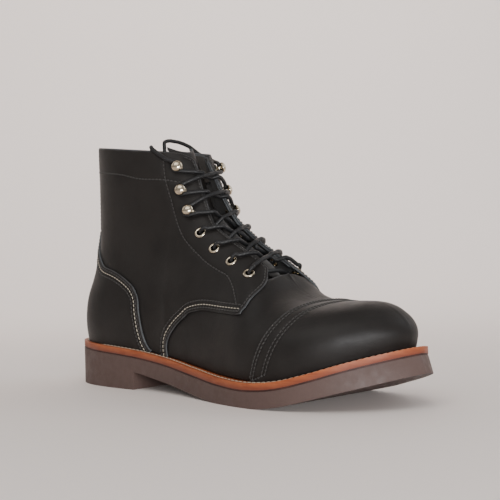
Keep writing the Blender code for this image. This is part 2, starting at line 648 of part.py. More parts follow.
def edged_patch(side, edge_points, lift_off, rows, shares):
    """The part of a side that lies between a curved edge, given as (t, v), and the welt or back seam."""
    t = np.linspace(edge_points[0][0], edge_points[-1][0], rows)
    t[np.argmin(np.abs(t - HEEL_T))] = HEEL_T + ABOVE_HEEL
    t = column(np.sort(np.append(t, [HEEL_T - 0.012, HEEL_T - 0.03])))
    edge = seam_v(edge_points, t)
    low = np.where(t < HEEL_T, lowest_v(t) - lift_off, 1.0)
    edge = np.minimum(edge, low - 0.02)
    return side, t, edge + (low - edge) * row(shares)


def build_heel():
    shares = [0, 0.2, 0.4, 0.56, 0.69, 0.8, 0.9, 1]
    counter = [edged_patch(side, COUNTER_EDGE, 0, 14, shares) for side in (LATERAL, MEDIAL)]
    sheet("heel_counter", counter, OVERLAY_LIFT, OVERLAY_LEATHER, LEATHER)
    stiffener = [edged_patch(side, STIFFENER_EDGE, 0.01, 10, shares) for side in (LATERAL, MEDIAL)]
    sheet("counter_stiffener", stiffener, STIFFENER_LIFT, STIFFENER_THICKNESS, STIFF_BOARD)
    t = column(np.linspace(BACKSTAY_FROM_T, BACKSTAY_TO_T, 8))
    v = 1 - BACKSTAY_HALF_WIDTH / section_length(t) * row(np.linspace(1, 0, 4))
    sheet("backstay", both_sides(t, v), OVERLAY_LIFT, OVERLAY_LEATHER, LEATHER)


def build_tongue():
    t = column(np.linspace(TONGUE_FROM_T, TONGUE_TO_T, 16))
    half = curve_through(TONGUE_HALF_WIDTH, t) / section_length(t)
    leaf = both_sides(t, half * row(np.linspace(0, 1, 5)))
    made = sheet("tongue", leaf, TONGUE_LIFT, TONGUE_LEATHER, LEATHER)
    hinge = Vector(world((HINGE_X, 0, HINGE_Z)))
    hinge.y = 0
    made.data.transform(Matrix.Translation(-hinge))
    made.location = hinge


# ================================================================ fasteners
def build_fasteners():
    outer_top = QUARTER_LIFT + GAP
    inner_top = FACING_INNER - INNER_CLEARANCE
    eyelet = [(EYELET_BORE, outer_top + 0.7), (EYELET_BORE + 0.9, outer_top + 0.85),
              (EYELET_FLANGE, outer_top + 0.4), (EYELET_FLANGE, outer_top), (EYELET_BARREL, outer_top),
              (EYELET_BARREL, inner_top), (EYELET_ROLL, inner_top), (EYELET_ROLL - 0.2, inner_top - 0.6),
              (EYELET_BORE, inner_top - 0.7)]
    hook = [(0, HOOK_CAP_FROM + 2.6), (HOOK_CAP * 0.62, HOOK_CAP_FROM + 2.0),
            (HOOK_CAP * 0.95, HOOK_CAP_FROM + 0.9), (HOOK_CAP, HOOK_CAP_FROM + 0.3), (HOOK_STEM, HOOK_CAP_FROM),
            (HOOK_STEM, outer_top + 0.6), (HOOK_BASE, outer_top + 0.5), (HOOK_BASE, outer_top),
            (HOOK_STEM, outer_top), (HOOK_STEM, inner_top), (HOOK_WASHER, inner_top),
            (HOOK_WASHER, inner_top - 0.6), (0, inner_top - 0.7)]
    for side, word in ((LATERAL, "lateral"), (MEDIAL, "medial")):
        for index, (t, v) in enumerate(ROWS):
            kind, profile = ("eyelet", eyelet) if index < EYELET_ROWS else ("hook", hook)
            made = turned(f"{kind}_{word}_{index + 1}", profile, NICKEL)
            set_on_upper(made, side, t, v)


# ================================================================ lace
def row_v(t):
    return float(seam_v(ROWS, t))


def flap_share(t):
    """Where the flap's edge lies, as a share of the way from the ridge to the lacing row."""
    return float(seam_v(FLAP_EDGE, t)) / row_v(t)


def across(w, t, lift):
    """A point on the lacing: w is -1 at the lateral row, 0 on the ridge and 1 at the medial row."""
    side = LATERAL if w < 0 else MEDIAL
    return on_upper(side, t, abs(w) * row_v(t), lift)


UNDER_FLAP = FACING_INNER - LACE_RADIUS - 1.7
OVER_FLAP = LACE_RADIUS + 0.6
OVER_EYELET = LACE_RADIUS + 1.5
ON_HOOK = 2.95
HOOK_WRAP = HOOK_STEM + LACE_RADIUS + 0.4
HOOK_WRAP_T = 0.019        # the same distance as a step of t


def strand(from_side, from_t, to_t, from_inside, on_top):
    """The control points of a strand across the throat, between its two lacing rows."""
    gap_start = flap_share(from_t + (to_t - from_t) * 0.25)
    gap_end = flap_share(from_t + (to_t - from_t) * 0.75)
    if from_inside:
        middle = -2.1 if on_top else -5.3
        plan = [(0.84, UNDER_FLAP), (gap_start + 0.1, UNDER_FLAP + 0.6), (gap_start - 0.06, UNDER_FLAP + 1.5),
                (0.2, middle), (0, middle), (-0.2, middle + 0.6)]
    else:
        middle = 1.2 if on_top else -2.4
        plan = [(0.84, OVER_FLAP + 0.4), (gap_start + 0.1, OVER_FLAP), (gap_start - 0.05, OVER_FLAP - 0.3),
                (0.2, middle), (0, middle), (-0.2, middle)]
    plan += [(-(gap_end - 0.07), OVER_FLAP - 0.4), (-(gap_end + 0.12), OVER_FLAP), (-0.8, OVER_FLAP + 0.5)]
    points = []
    for w, lift in plan:
        t = from_t + (to_t - from_t) * (1 - w) / 2
        points.append((across(w * from_side, t, lift), 1.0))
    return points


def through_eyelet(side, number, inwards):
    """Down (or up) the bore of an eyelet; outside the leather it comes from the throat."""
    t, v = ROWS[number - 1]
    centre = on_upper(side, t, v)
    out = out_of(centre)
    ridge_way = on_upper(side, t, v * 0.8) - centre
    ridge_way = unit(ridge_way - out * np.dot(ridge_way, out))
    roll = FACING_INNER - INNER_CLEARANCE
    steps = [(4.7, OVER_EYELET, 1.0), (1.7, OVER_EYELET - 0.6, LACE_IN_BORE), (0.15, 0.6, LACE_IN_BORE),
             (0, -1.6, LACE_IN_BORE), (0.1, roll - 0.3, LACE_IN_BORE), (1.4, roll - 2.0, LACE_IN_BORE)]
    points = [(centre + ridge_way * d + out * lift, size) for d, lift, size in steps]
    return points if inwards else points[::-1]


def round_hook(side, number):
    """Half a turn round a hook's stem, from its low side, behind it, to its high side."""
    t, v = ROWS[number - 1]
    centre = on_upper(side, t, v)
    out = out_of(centre)
    higher = on_upper(side, t + 0.02, v) - centre
    higher = unit(higher - out * np.dot(higher, out))
    behind = np.cross(out, higher) * side
    behind *= np.sign(np.dot(behind, on_upper(side, t, v + 0.02) - centre))
    points = []
    for angle in np.radians([-100, -50, 0, 50, 100]):
        wrap = higher * np.sin(angle) + behind * np.cos(angle)
        points.append((centre + out * ON_HOOK + HOOK_WRAP * wrap, 1.0))
    return points


def lace_half(side):
    """From the bar between the lowest eyelets to the top hook, for the strand that starts on one side."""
    def t_of(number):
        return ROWS[number - 1][0]

    points = through_eyelet(side, 1, False)
    points += strand(side, t_of(1), t_of(2), False, side == LATERAL)
    for number in (2, 3, 4):
        side = -side
        points += through_eyelet(side, number, True)
        to_t = t_of(number + 1) - (HOOK_WRAP_T if number == EYELET_ROWS else 0)
        points += strand(side, t_of(number), to_t, True, side == LATERAL)
    for number in (5, 6):
        side = -side
        points += round_hook(side, number)
        from_t, to_t = t_of(number) + HOOK_WRAP_T, t_of(number + 1) - HOOK_WRAP_T
        points += strand(side, from_t, to_t, False, side == LATERAL)
    side = -side
    points += round_hook(side, 7)
    return points


TUCK_LIFT = FACING_INNER - LACE_RADIUS - 0.8


def lace_tail(side):
    """From a top hook, over the top line and down inside the shaft; (t, v, lift) points."""
    if side == LATERAL:
        plan = [(0.958, 0.205, 2.9), (0.985, 0.24, 2.3), (1.012, 0.272, 1.6), (1.026, 0.285, -1.7),
                (1.01, 0.3, TUCK_LIFT), (0.97, 0.33, TUCK_LIFT), (0.9, 0.38, TUCK_LIFT - 1),
                (0.8, 0.4, TUCK_LIFT - 2), (0.72, 0.41, TUCK_LIFT - 3)]
    else:
        plan = [(0.958, 0.23, 2.9), (0.98, 0.33, 2.3), (1.0, 0.41, 2.3), (1.03, 0.47, 1.8), (1.056, 0.53, -1.6),
                (1.062, 0.575, -5.2), (1.042, 0.61, TUCK_LIFT - 2), (1.0, 0.62, TUCK_LIFT - 1),
                (0.9, 0.63, TUCK_LIFT - 1), (0.82, 0.62, TUCK_LIFT - 2), (0.76, 0.6, TUCK_LIFT - 3)]
    return [(on_upper(side, t, v, lift), 1.0) for t, v, lift in plan]


def smooth_route(controls):
    """A curve through control points, with points close enough for the bends."""
    points = np.array([p for p, _ in controls])
    sizes = np.array([s for _, s in controls])
    place = np.concatenate([[0], np.cumsum(np.linalg.norm(np.diff(points, axis=0), axis=1) ** 0.5)])
    ways = unit(np.diff(points, axis=0))
    turn = np.degrees(np.arccos(np.clip(np.sum(ways[1:] * ways[:-1], axis=1), -1, 1)))
    turn = np.concatenate([[0], turn, [0]])
    route, radii = [], []
    for k in range(len(points) - 1):
        length = np.linalg.norm(points[k + 1] - points[k])
        pieces = int(math.ceil(max(length / LACE_STEP, (turn[k] + turn[k + 1]) / 2 / LACE_TURN, 1)))
        at = place[k] + (place[k + 1] - place[k]) * np.arange(pieces) / pieces
        route.append(np.stack([curve_through(list(zip(place, points[:, c])), at) for c in range(3)], axis=1))
        radii.append(np.interp(at, place, sizes))
    route.append(points[-1:])
    radii.append(sizes[-1:])
    return np.vstack(route), np.concatenate(radii)


def tube(name, points, radii, radius, look):
    """A round cord along a polyline, with flat ends."""
    curve = bpy.data.curves.new(name, "CURVE")
    curve.dimensions = "3D"
    curve.bevel_depth = radius * MM
    curve.bevel_resolution = 2
    curve.use_fill_caps = True
    spline = curve.splines.new("POLY")
    spline.points.add(len(points) - 1)
    for point, place, size in zip(spline.points, world(points), radii):
        point.co = (*place, 1)
        point.radius = size
    return new_object(name, curve, look)


def build_lace():
    t, v = ROWS[0]
    bar = [(on_upper(LATERAL, t, v * w, UNDER_FLAP), 1.0) for w in (0.85, 0.5, 0.2)]
    bar += [(on_upper(MEDIAL, t, v * w, UNDER_FLAP), 1.0) for w in (0.2, 0.5, 0.85)]
    controls = lace_tail(LATERAL)[::-1] + lace_half(LATERAL)[::-1] + bar + lace_half(MEDIAL) + lace_tail(MEDIAL)
    route, radii = smooth_route(controls)
    tube("lace", route, radii, LACE_RADIUS, LACE_CORD)
    for word, tip, before in (("lateral", route[0], route[1]), ("medial", route[-1], route[-2])):
        way = unit(tip - before)
        near = tip + way * GAP
        points = np.array([near, near + way * AGLET_LENGTH])
        tube("aglet_" + word, points, [1.0, 1.0], AGLET_RADIUS, AGLET_PLASTIC)


build_sole()
build_forefoot()
build_quarters()
build_heel()
build_tongue()
build_fasteners()
build_lace()
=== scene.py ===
"""The looks of the lace-up boot: leather, stitching, lace and sole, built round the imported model.

Lengths are in millimetres in the same working frame as the part's own source, whose x = 0 is the back of the
heel; `world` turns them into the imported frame's metres. The upper is one smooth form, addressed by
(side, t, v, lift): t runs from -1 at the toe's edge, by 0 at the toe-cap seam, to 1 at the top line; v runs
from 0 on the ridge of the foot to 1 at the welt or the back seam; lift is the height above the form.
"""

import math

import bmesh
import bpy
import numpy as np
from mathutils import Matrix, Vector

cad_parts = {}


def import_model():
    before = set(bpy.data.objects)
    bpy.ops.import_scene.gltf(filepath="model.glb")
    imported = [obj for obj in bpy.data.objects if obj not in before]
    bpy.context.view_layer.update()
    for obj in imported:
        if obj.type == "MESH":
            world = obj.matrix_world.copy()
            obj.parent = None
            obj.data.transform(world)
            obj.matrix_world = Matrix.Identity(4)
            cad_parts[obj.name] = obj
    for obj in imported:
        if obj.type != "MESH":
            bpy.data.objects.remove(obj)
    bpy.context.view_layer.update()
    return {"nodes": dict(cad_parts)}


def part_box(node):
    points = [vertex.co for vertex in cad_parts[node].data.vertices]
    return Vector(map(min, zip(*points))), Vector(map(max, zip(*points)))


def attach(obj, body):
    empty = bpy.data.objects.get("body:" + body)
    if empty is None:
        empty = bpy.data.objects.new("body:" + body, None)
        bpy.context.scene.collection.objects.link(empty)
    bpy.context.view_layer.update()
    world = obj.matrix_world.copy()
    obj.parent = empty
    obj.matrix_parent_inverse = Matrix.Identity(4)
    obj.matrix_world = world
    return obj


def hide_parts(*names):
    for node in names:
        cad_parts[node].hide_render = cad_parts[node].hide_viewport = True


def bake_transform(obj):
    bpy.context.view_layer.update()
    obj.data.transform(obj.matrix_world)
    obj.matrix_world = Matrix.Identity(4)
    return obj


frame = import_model()

MM = 0.001
LATERAL, MEDIAL = -1, 1
SIDES = ((LATERAL, "lateral"), (MEDIAL, "medial"))

# ---------------------------------------------------------------- the sole
BOOT_LENGTH = 307.0
SOLE_LATERAL = [(0, 0), (4, 20.2), (16, 31.3), (37, 37.9), (63, 39.6), (93, 39.2), (123, 41.5), (153, 47.2),
                (183, 54.3), (208, 58.6), (231, 58.6), (253.4, 53.6), (273.7, 43.1), (290, 28.3),
                (301.2, 11.3), (306.9, -7.6)]
SOLE_MEDIAL = [(0, 0), (4, 19.5), (16, 30.5), (37, 36.5), (63, 37.5), (93, 35), (123, 34), (153, 38.5),
               (183, 47.5), (205, 54), (225, 57), (243, 57), (260, 54), (275, 48.3), (289, 38.8),
               (300, 26.5), (306.9, 7.6)]
WELT_TOP = [(0, 33.8), (38, 31.9), (75, 29.8), (113, 26), (153, 20.8), (190, 17.2), (215, 16.6),
            (240, 19.2), (260, 24.4), (280, 31), (307, 39.5)]
BREAST_X = 81.0            # front face of the heel
ARCH_BOTTOM = [(81, 13.4), (103, 10), (133, 5.6), (163, 1.3), (182, 0), (222, 0), (243, 3.1), (268, 10),
               (288, 16.1), (307, 22.4)]
OUTLINE_POINTS = 56
WELT_THICKNESS = 4.5
WELT_WIDTH = 11.0
MIDSOLE_THICKNESS = 1.2
INSOLE_INSET = 13.2
INSOLE_THICKNESS = 3.0
FILLER_THICKNESS = 3.4
HEEL_PAD_END = 92.0
TOE_FLARE, TOE_FLARE_FROM_X = 4.5, 235.0    # the tread reaches this far in front of the welt

# ---------------------------------------------------------------- the form of the upper
UPPER_TIP_X = 298.5
TOE_CENTRE_X = 228.0       # the toe dome is rounded about this station
RIDGE_HEIGHT = [(0, 50), (40, 72), (80, 104), (120, 136), (150, 119), (164, 110), (180, 101), (190, 94.5),
                (200, 86), (211, 75.5), (222, 70.5), (233, 68.3), (247, 67.6), (262, 69.4), (276, 71.6),
                (290, 71.8), (307, 69)]
RIDGE_SIDE = [(0, 0), (100, 0), (150, 1), (200, 4), (240, 6), (280, 6), (307, 7)]
WELT_LEDGE = [(0, 3.6), (60, 3.8), (110, 4.5), (150, 5.2), (200, 5.8), (307, 6.6)]
SHAFT_BACK = [(20, 4.6), (34, 4.0), (45, 3.2), (56, 3.4), (69, 5.6), (78, 9), (88, 12), (101, 13.6),
              (115, 15.0), (134, 16), (152, 16.2), (175, 15.8), (200, 16)]
SHAFT_FRONT = [(20, 140), (60, 150), (85, 175), (95, 175), (105, 169), (114, 161), (121, 152), (131, 142.5),
               (140, 136.5), (153, 129.5), (165, 123), (172, 119), (200, 103)]
SHAFT_HALF_WIDTH = [(20, 32.5), (34, 34), (45, 35.5), (58, 35.5), (70, 34.2), (85, 32.2), (100, 31),
                    (118, 31), (135, 31.8), (155, 32.6), (175, 33), (200, 33.2)]
SHAFT_REAR = [(20, 40), (70, 42), (100, 46), (185, 50), (200, 50)]
BLEND = 5.0                # fillet between the foot and the shaft

# Each section plane passes a point above the instep, (t, x, z), and one on the welt or the back seam.
UPPER_GUIDE = [(0.0, 233, 72), (0.12, 221, 80), (0.3, 196, 98), (0.5, 165, 118), (0.7, 143, 138),
               (0.85, 131, 156), (1.0, 121, 173.5), (1.15, 116, 188)]
FEATHER_GUIDE = [(0.0, 213), (0.12, 193), (0.3, 150), (0.45, 95), (0.56, 40), (0.605, 16), (0.64, 3.6)]
BACK_GUIDE = [(0.64, 33.8), (0.74, 70), (0.87, 125), (1.0, 184.5), (1.15, 199)]
HEEL_T = 0.64              # the section through the back of the heel
GRID_COLUMNS = 61
TOE_ROWS = 20
BODY_TS = np.linspace(0, 1.12, 57)

# ---------------------------------------------------------------- lifts and thicknesses
FACING_LIFT, FACING_LEATHER = -2.5, 1.2
TONGUE_LIFT, TONGUE_LEATHER = -11.4, 2.6

# Seams, as (t, v) or (v, t) points on the form.
CAP_EDGE_T = -0.035
VAMP_FRONT_T = -0.16
FLAP_EDGE = [(0.2, 0.125), (0.29, 0.125), (0.35, 0.115), (0.41, 0.113), (0.52, 0.1), (0.59, 0.087),
             (0.68, 0.062), (0.83, 0.06), (0.93, 0.052), (0.97, 0.062), (1.0, 0.12)]
# the quarter's front edge: share of the way from the flap's edge to the welt, then t
QUARTER_FRONT = [(0, 0.285), (0.1, 0.235), (0.33, 0.202), (0.44, 0.197), (0.49, 0.21), (0.515, 0.27),
                 (0.545, 0.345), (0.585, 0.385), (0.67, 0.408), (0.78, 0.42), (0.89, 0.418), (1, 0.4)]
VAMP_REAR = [(0, 0.252), (0.08, 0.25), (0.15, 0.243), (0.3, 0.253), (0.42, 0.27), (0.5, 0.3), (0.57, 0.36),
             (0.62, 0.43), (0.7, 0.465), (0.85, 0.475), (1, 0.45)]
FACING_BACK = [(0.3, 0.41), (0.35, 0.37), (0.41, 0.355), (0.45, 0.345), (0.52, 0.31), (0.61, 0.245),
               (0.71, 0.225), (0.8, 0.25), (0.89, 0.26), (1.0, 0.25)]
FACING_FROM_T, FACING_TO_T = 0.3, 0.985
BAND_FROM = [(0.28, 0.885), (0.4, 0.905), (0.5, 0.92), (0.7, 0.935), (1, 0.945)]
COUNTER_EDGE = [(0.45, 0.985), (0.47, 0.938), (0.5, 0.838), (0.53, 0.738), (0.56, 0.65), (0.61, 0.562),
                (0.66, 0.525), (0.71, 0.6), (0.75, 0.7), (0.79, 0.79), (0.82, 0.86), (0.85, 0.892)]
STIFFENER_EDGE = [(0.545, 0.9), (0.57, 0.82), (0.6, 0.76), (0.64, 0.72), (0.7, 0.75), (0.75, 0.82),
                  (0.79, 0.96)]
BACKSTAY_HALF_WIDTH = 15.5
LINING_FRONT_T = -0.93
LINING_REAR = [(0, 0.2), (0.2, 0.21), (0.45, 0.28), (0.6, 0.42), (0.8, 0.5), (1, 0.5)]
PUFF_FRONT_T = -0.95
TONGUE_FROM_T, TONGUE_TO_T = 0.235, 1.08
TONGUE_HALF_WIDTH = [(0.2, 19), (0.4, 23), (0.7, 25), (1.1, 24)]

# ---------------------------------------------------------------- eyelets, hooks and lace
ROWS = [(0.300, 0.263), (0.395, 0.238), (0.484, 0.212), (0.583, 0.166), (0.707, 0.140), (0.817, 0.163),
        (0.921, 0.160)]    # (t, v) of the seven lacing rows
EYELET_ROWS = 4
EYELET_BARREL = 3.1
HOOK_STEM = 1.5
INNER_CLEARANCE = 0.8      # the facing is hollow towards the eyelets' inner rims
FACING_INNER = FACING_LIFT - FACING_LEATHER
LACE_RADIUS = 1.5
LACE_STEP, LACE_TURN = 9.0, 45.0    # the most mm and degrees between the lace's points
LACE_IN_BORE = 0.8         # the lace is squeezed to this share of its size in an eyelet
AGLET_LENGTH, AGLET_RADIUS = 22.0, 1.7


# ================================================================ curves and the form
def curve_through(points, at):
    """A smooth curve through (place, value) points, read at some places."""
    xs = np.array([p[0] for p in points], float)
    ys = np.array([p[1] for p in points], float)
    step = np.diff(xs)
    rise = np.diff(ys) / step
    inner = (rise[:-1] * step[1:] + rise[1:] * step[:-1]) / (step[1:] + step[:-1])
    slope = np.concatenate([rise[:1], inner, rise[-1:]])
    at = np.clip(np.asarray(at, float), xs[0], xs[-1])
    i = np.clip(np.searchsorted(xs, at) - 1, 0, len(xs) - 2)
    h = step[i]
    u = (at - xs[i]) / h
    return ((1 + 2 * u) * (1 - u) ** 2 * ys[i] + u * (1 - u) ** 2 * h * slope[i]
            + u * u * (3 - 2 * u) * ys[i + 1] + u * u * (u - 1) * h * slope[i + 1])


def round_place(x):
    """Places along the boot as angles, which makes the outline's ends come out round."""
    return np.arccos(np.clip(1 - 2 * np.asarray(x, float) / BOOT_LENGTH, -1, 1))


def half_width(outline, x):
    points = [(float(round_place(px)), py) for px, py in outline]
    return curve_through(points, round_place(x))


def foot_field(p, soften=0.0):
    """Roughly the distance in mm outside the foot part of the upper, negative inside.

    soften rounds the field off across the crest, for directions that do not jump there.
    """
    x, y, z = p[..., 0], p[..., 1], p[..., 2]
    low = curve_through(WELT_TOP, x)
    high = curve_through(RIDGE_HEIGHT, x)
    rise = np.clip((z - low) / (high - low), 0, None)
    rise_in = np.clip(rise, 0, 1)
    toe = np.clip((x - 170) / 70, 0, 1)
    toe = toe * toe * (3 - 2 * toe)
    squareness = 2.1 + 1.9 * toe
    narrowing = (1 - rise_in ** squareness) ** (1 / (2.15 + 0.5 * toe))
    bulge = 1 + 0.045 * np.sin(np.pi * np.clip(rise_in / 0.75, 0, 1))
    toe_scale = np.maximum(narrowing * (1 + 0.035 * np.sin(np.pi * np.clip(rise_in / 0.7, 0, 1))), 1e-3)
    ahead = np.maximum(x - TOE_CENTRE_X, 0) / toe_scale
    stretch = (BOOT_LENGTH - TOE_CENTRE_X) / (UPPER_TIP_X - TOE_CENTRE_X)
    place = np.where(x > TOE_CENTRE_X, TOE_CENTRE_X + ahead * stretch, x)
    over = np.maximum(place - BOOT_LENGTH, 0)
    place = np.clip(place, 0, BOOT_LENGTH)
    centre = curve_through(RIDGE_SIDE, x)
    ledge = curve_through(WELT_LEDGE, x) * np.sqrt(np.clip((BOOT_LENGTH - place) / 25, 0, 1))
    lateral = half_width(SOLE_LATERAL, place) - ledge + centre
    medial = half_width(SOLE_MEDIAL, place) - ledge - centre
    width = np.where(y < centre, lateral, medial) - 18 * np.clip((115 - x) / 85, 0, 1)
    above = np.maximum(rise - 1, 0) * (high - low)
    behind = 0.4 * np.maximum(50 - x, 0)
    return np.hypot(y - centre, soften) - soften - width * narrowing * bulge + 3 * over + above + behind


def shaft_field(p):
    """Roughly the distance in mm outside the shaft and heel, negative inside."""
    x, y, z = p[..., 0], p[..., 1], p[..., 2]
    back = curve_through(SHAFT_BACK, z)
    front = curve_through(SHAFT_FRONT, z)
    half = curve_through(SHAFT_HALF_WIDTH, z)
    middle = back + curve_through(SHAFT_REAR, z)
    reach = np.where(x < middle, middle - back, front - middle)
    power = np.where(x < middle, 2.15, 2.2)
    radius = ((np.abs(x - middle) / reach) ** power + (np.abs(y) / half) ** power) ** (1 / power)
    return (radius - 1) * half


def upper_field(p, soften=0.0):
    shaft = shaft_field(p)
    foot = foot_field(p, soften)
    least = np.minimum(shaft, foot)
    return least - BLEND * np.log(np.exp((least - shaft) / BLEND) + np.exp((least - foot) / BLEND))


def cast(start, direction):
    """Where rays from inside the upper leave it."""
    steps = np.linspace(0, 260, 66)[1:]
    outside = upper_field(start[..., None, :] + direction[..., None, :] * steps[:, None]) > 0
    far = steps[np.argmax(outside, axis=-1)]
    near = far - steps[0]
    for _ in range(22):
        middle = (near + far) / 2
        out = upper_field(start + direction * middle[..., None]) > 0
        far = np.where(out, middle, far)
        near = np.where(out, near, middle)
    return start + direction * far[..., None]


def run_of(points):
    """The distance along a polyline at each of its points."""
    return np.concatenate([[0], np.cumsum(np.linalg.norm(np.diff(points, axis=0), axis=1))])


def evenly(points, count):
    """A polyline resampled to points an equal distance apart."""
    run = run_of(points)
    at = np.linspace(0, run[-1], count)
    return np.stack([np.interp(at, run, points[:, c]) for c in range(3)], axis=1)


def body_section(t, side):
    """One section of the upper from its ridge down to the welt, or round to the back seam."""
    above = np.array([float(curve_through([(g[0], g[i]) for g in UPPER_GUIDE], t)) for i in (1, 2)])
    if t < HEEL_T:
        x = float(curve_through(FEATHER_GUIDE, t))
        below = np.array([x, float(curve_through(WELT_TOP, x))])
    else:
        z = float(curve_through(BACK_GUIDE, t))
        below = np.array([float(curve_through(SHAFT_BACK, z)), z])
    middle = below + (above - below) * 0.45
    up = np.array([above[0] - middle[0], 0, above[1] - middle[1]])
    up /= np.linalg.norm(up)
    start = np.array([middle[0], float(curve_through(RIDGE_SIDE, middle[0])), middle[1]])
    turn = np.linspace(0, math.pi, 110)[:, None]
    direction = np.cos(turn) * up + np.sin(turn) * np.array([0, side, 0])
    points = cast(np.broadcast_to(start, direction.shape), direction)
    clear = points[:, 2] - curve_through(WELT_TOP, points[:, 0])
    under = np.nonzero(clear < 0)[0]
    if len(under):
        i = under[0]
        share = clear[i - 1] / (clear[i - 1] - clear[i])
        points = np.vstack([points[:i], points[i - 1] + (points[i] - points[i - 1]) * share])
    return evenly(points, GRID_COLUMNS)


def toe_edge(side):
    """The bottom edge of the toe, from its tip to its widest part."""
    turn = np.linspace(0, math.pi / 2, 90)
    start = np.zeros((len(turn), 3))
    start[:, 0] = TOE_CENTRE_X
    start[:, 1] = curve_through(RIDGE_SIDE, TOE_CENTRE_X)
    direction = np.stack([np.cos(turn), side * np.sin(turn), 0 * turn], axis=1)
    level = np.full(len(turn), 30.0)
    for _ in range(6):
        start[:, 2] = level
        points = cast(start, direction)
        level = curve_through(WELT_TOP, points[:, 0])
    return points


def unit(vectors):
    return vectors / np.linalg.norm(vectors, axis=-1, keepdims=True)


def form_rows(side):
    """The upper's outer face as rows of points, from the toe's edge back and up past the top line."""
    body = np.array([body_section(t, side) for t in BODY_TS])
    seam = body[0]
    edge = evenly(np.vstack([toe_edge(side), seam[-1:]]), GRID_COLUMNS)
    centre = np.array([TOE_CENTRE_X + 6, float(curve_through(RIDGE_SIDE, TOE_CENTRE_X)), 27.0])
    rows = [edge]
    for share in np.linspace(1, 0, TOE_ROWS + 1)[1:-1]:
        aim = unit((1 - share) * unit(seam - centre) + share * unit(edge - centre))
        row = cast(np.broadcast_to(centre, aim.shape), aim)
        row[-1] = seam[-1]
        rows.append(row)
    return np.concatenate([np.array(rows), body])


FORM_TS = np.concatenate([np.linspace(-1, 0, TOE_ROWS + 1)[:-1], BODY_TS])
FORM = {side: form_rows(side) for side in (LATERAL, MEDIAL)}
SECTION_LENGTH = np.linalg.norm(np.diff(FORM[LATERAL], axis=1), axis=2).sum(axis=1)


def section_length(t):
    """The length in mm of a section, from ridge to welt or back seam."""
    return np.interp(t, FORM_TS, SECTION_LENGTH)


def seam_v(seam, t):
    """A seam given as (t, v), read in mm down the sections, which keeps it smooth as their length changes."""
    in_mm = [(place, v * float(section_length(place))) for place, v in seam]
    return curve_through(in_mm, t) / section_length(t)


def out_of(points):
    """The outward direction of the form at points on it."""
    shift = 0.4 * np.eye(3)
    slope = [upper_field(points + shift[c]) - upper_field(points - shift[c]) for c in range(3)]
    return unit(np.stack(slope, axis=-1))


def on_upper(side, t, v, lift=0.0):
    """Points at (t, v) on one side of the form, raised by lift mm."""
    t, v, lift = np.broadcast_arrays(np.asarray(t, float), np.asarray(v, float), np.asarray(lift, float))
    rows = FORM[side]
    i = np.clip(np.searchsorted(FORM_TS, t) - 1, 0, len(FORM_TS) - 2)
    a = ((t - FORM_TS[i]) / (FORM_TS[i + 1] - FORM_TS[i]))[..., None]
    place = np.clip(v, 0, 1) * (GRID_COLUMNS - 1)
    j = np.clip(place.astype(int), 0, GRID_COLUMNS - 2)
    b = (place - j)[..., None]
    points = ((1 - a) * ((1 - b) * rows[i, j] + b * rows[i, j + 1])
              + a * ((1 - b) * rows[i + 1, j] + b * rows[i + 1, j + 1]))
    return points + out_of(points) * lift[..., None]


# ================================================================ the shared frame
SOLE_LOW, SOLE_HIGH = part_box("welt")


def sole_outline(inset=0.0, end=BOOT_LENGTH, count=OUTLINE_POINTS):
    """The sole's plan outline, counter-clockwise, moved inwards, and cut off square at x = end."""
    first, last = round_place(0.01), round_place(BOOT_LENGTH - 0.05)
    place = np.linspace(first, last, count // 2 + 1)
    x = BOOT_LENGTH * (1 - np.cos(place)) / 2
    lateral = np.stack([x, -half_width(SOLE_LATERAL, x)], axis=1)
    medial = np.stack([x, half_width(SOLE_MEDIAL, x)], axis=1)
    loop = np.vstack([lateral, medial[-2:0:-1]])
    ahead = np.roll(loop, -1, axis=0) - np.roll(loop, 1, axis=0)
    inward = unit(np.stack([-ahead[:, 1], ahead[:, 0]], axis=1))
    loop = loop + inward * inset
    if end < BOOT_LENGTH:
        lateral, medial = loop[:len(x)], loop[len(x):]
        corners = [(end, np.interp(end, lateral[:, 0], lateral[:, 1])),
                   (end, np.interp(end, medial[::-1, 0], medial[::-1, 1]))]
        loop = np.vstack([lateral[lateral[:, 0] < end], corners, medial[medial[:, 0] < end]])
    return loop


OUTLINE = sole_outline()
CENTRE = np.append((OUTLINE.min(axis=0) + OUTLINE.max(axis=0)) / 2, 0.0)
CENTRE -= np.array([*((SOLE_LOW + SOLE_HIGH) / 2 / MM).xy, 0.0])


def world(points):
    """Points of the working frame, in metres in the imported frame."""
    return (np.asarray(points, float) - CENTRE) * MM


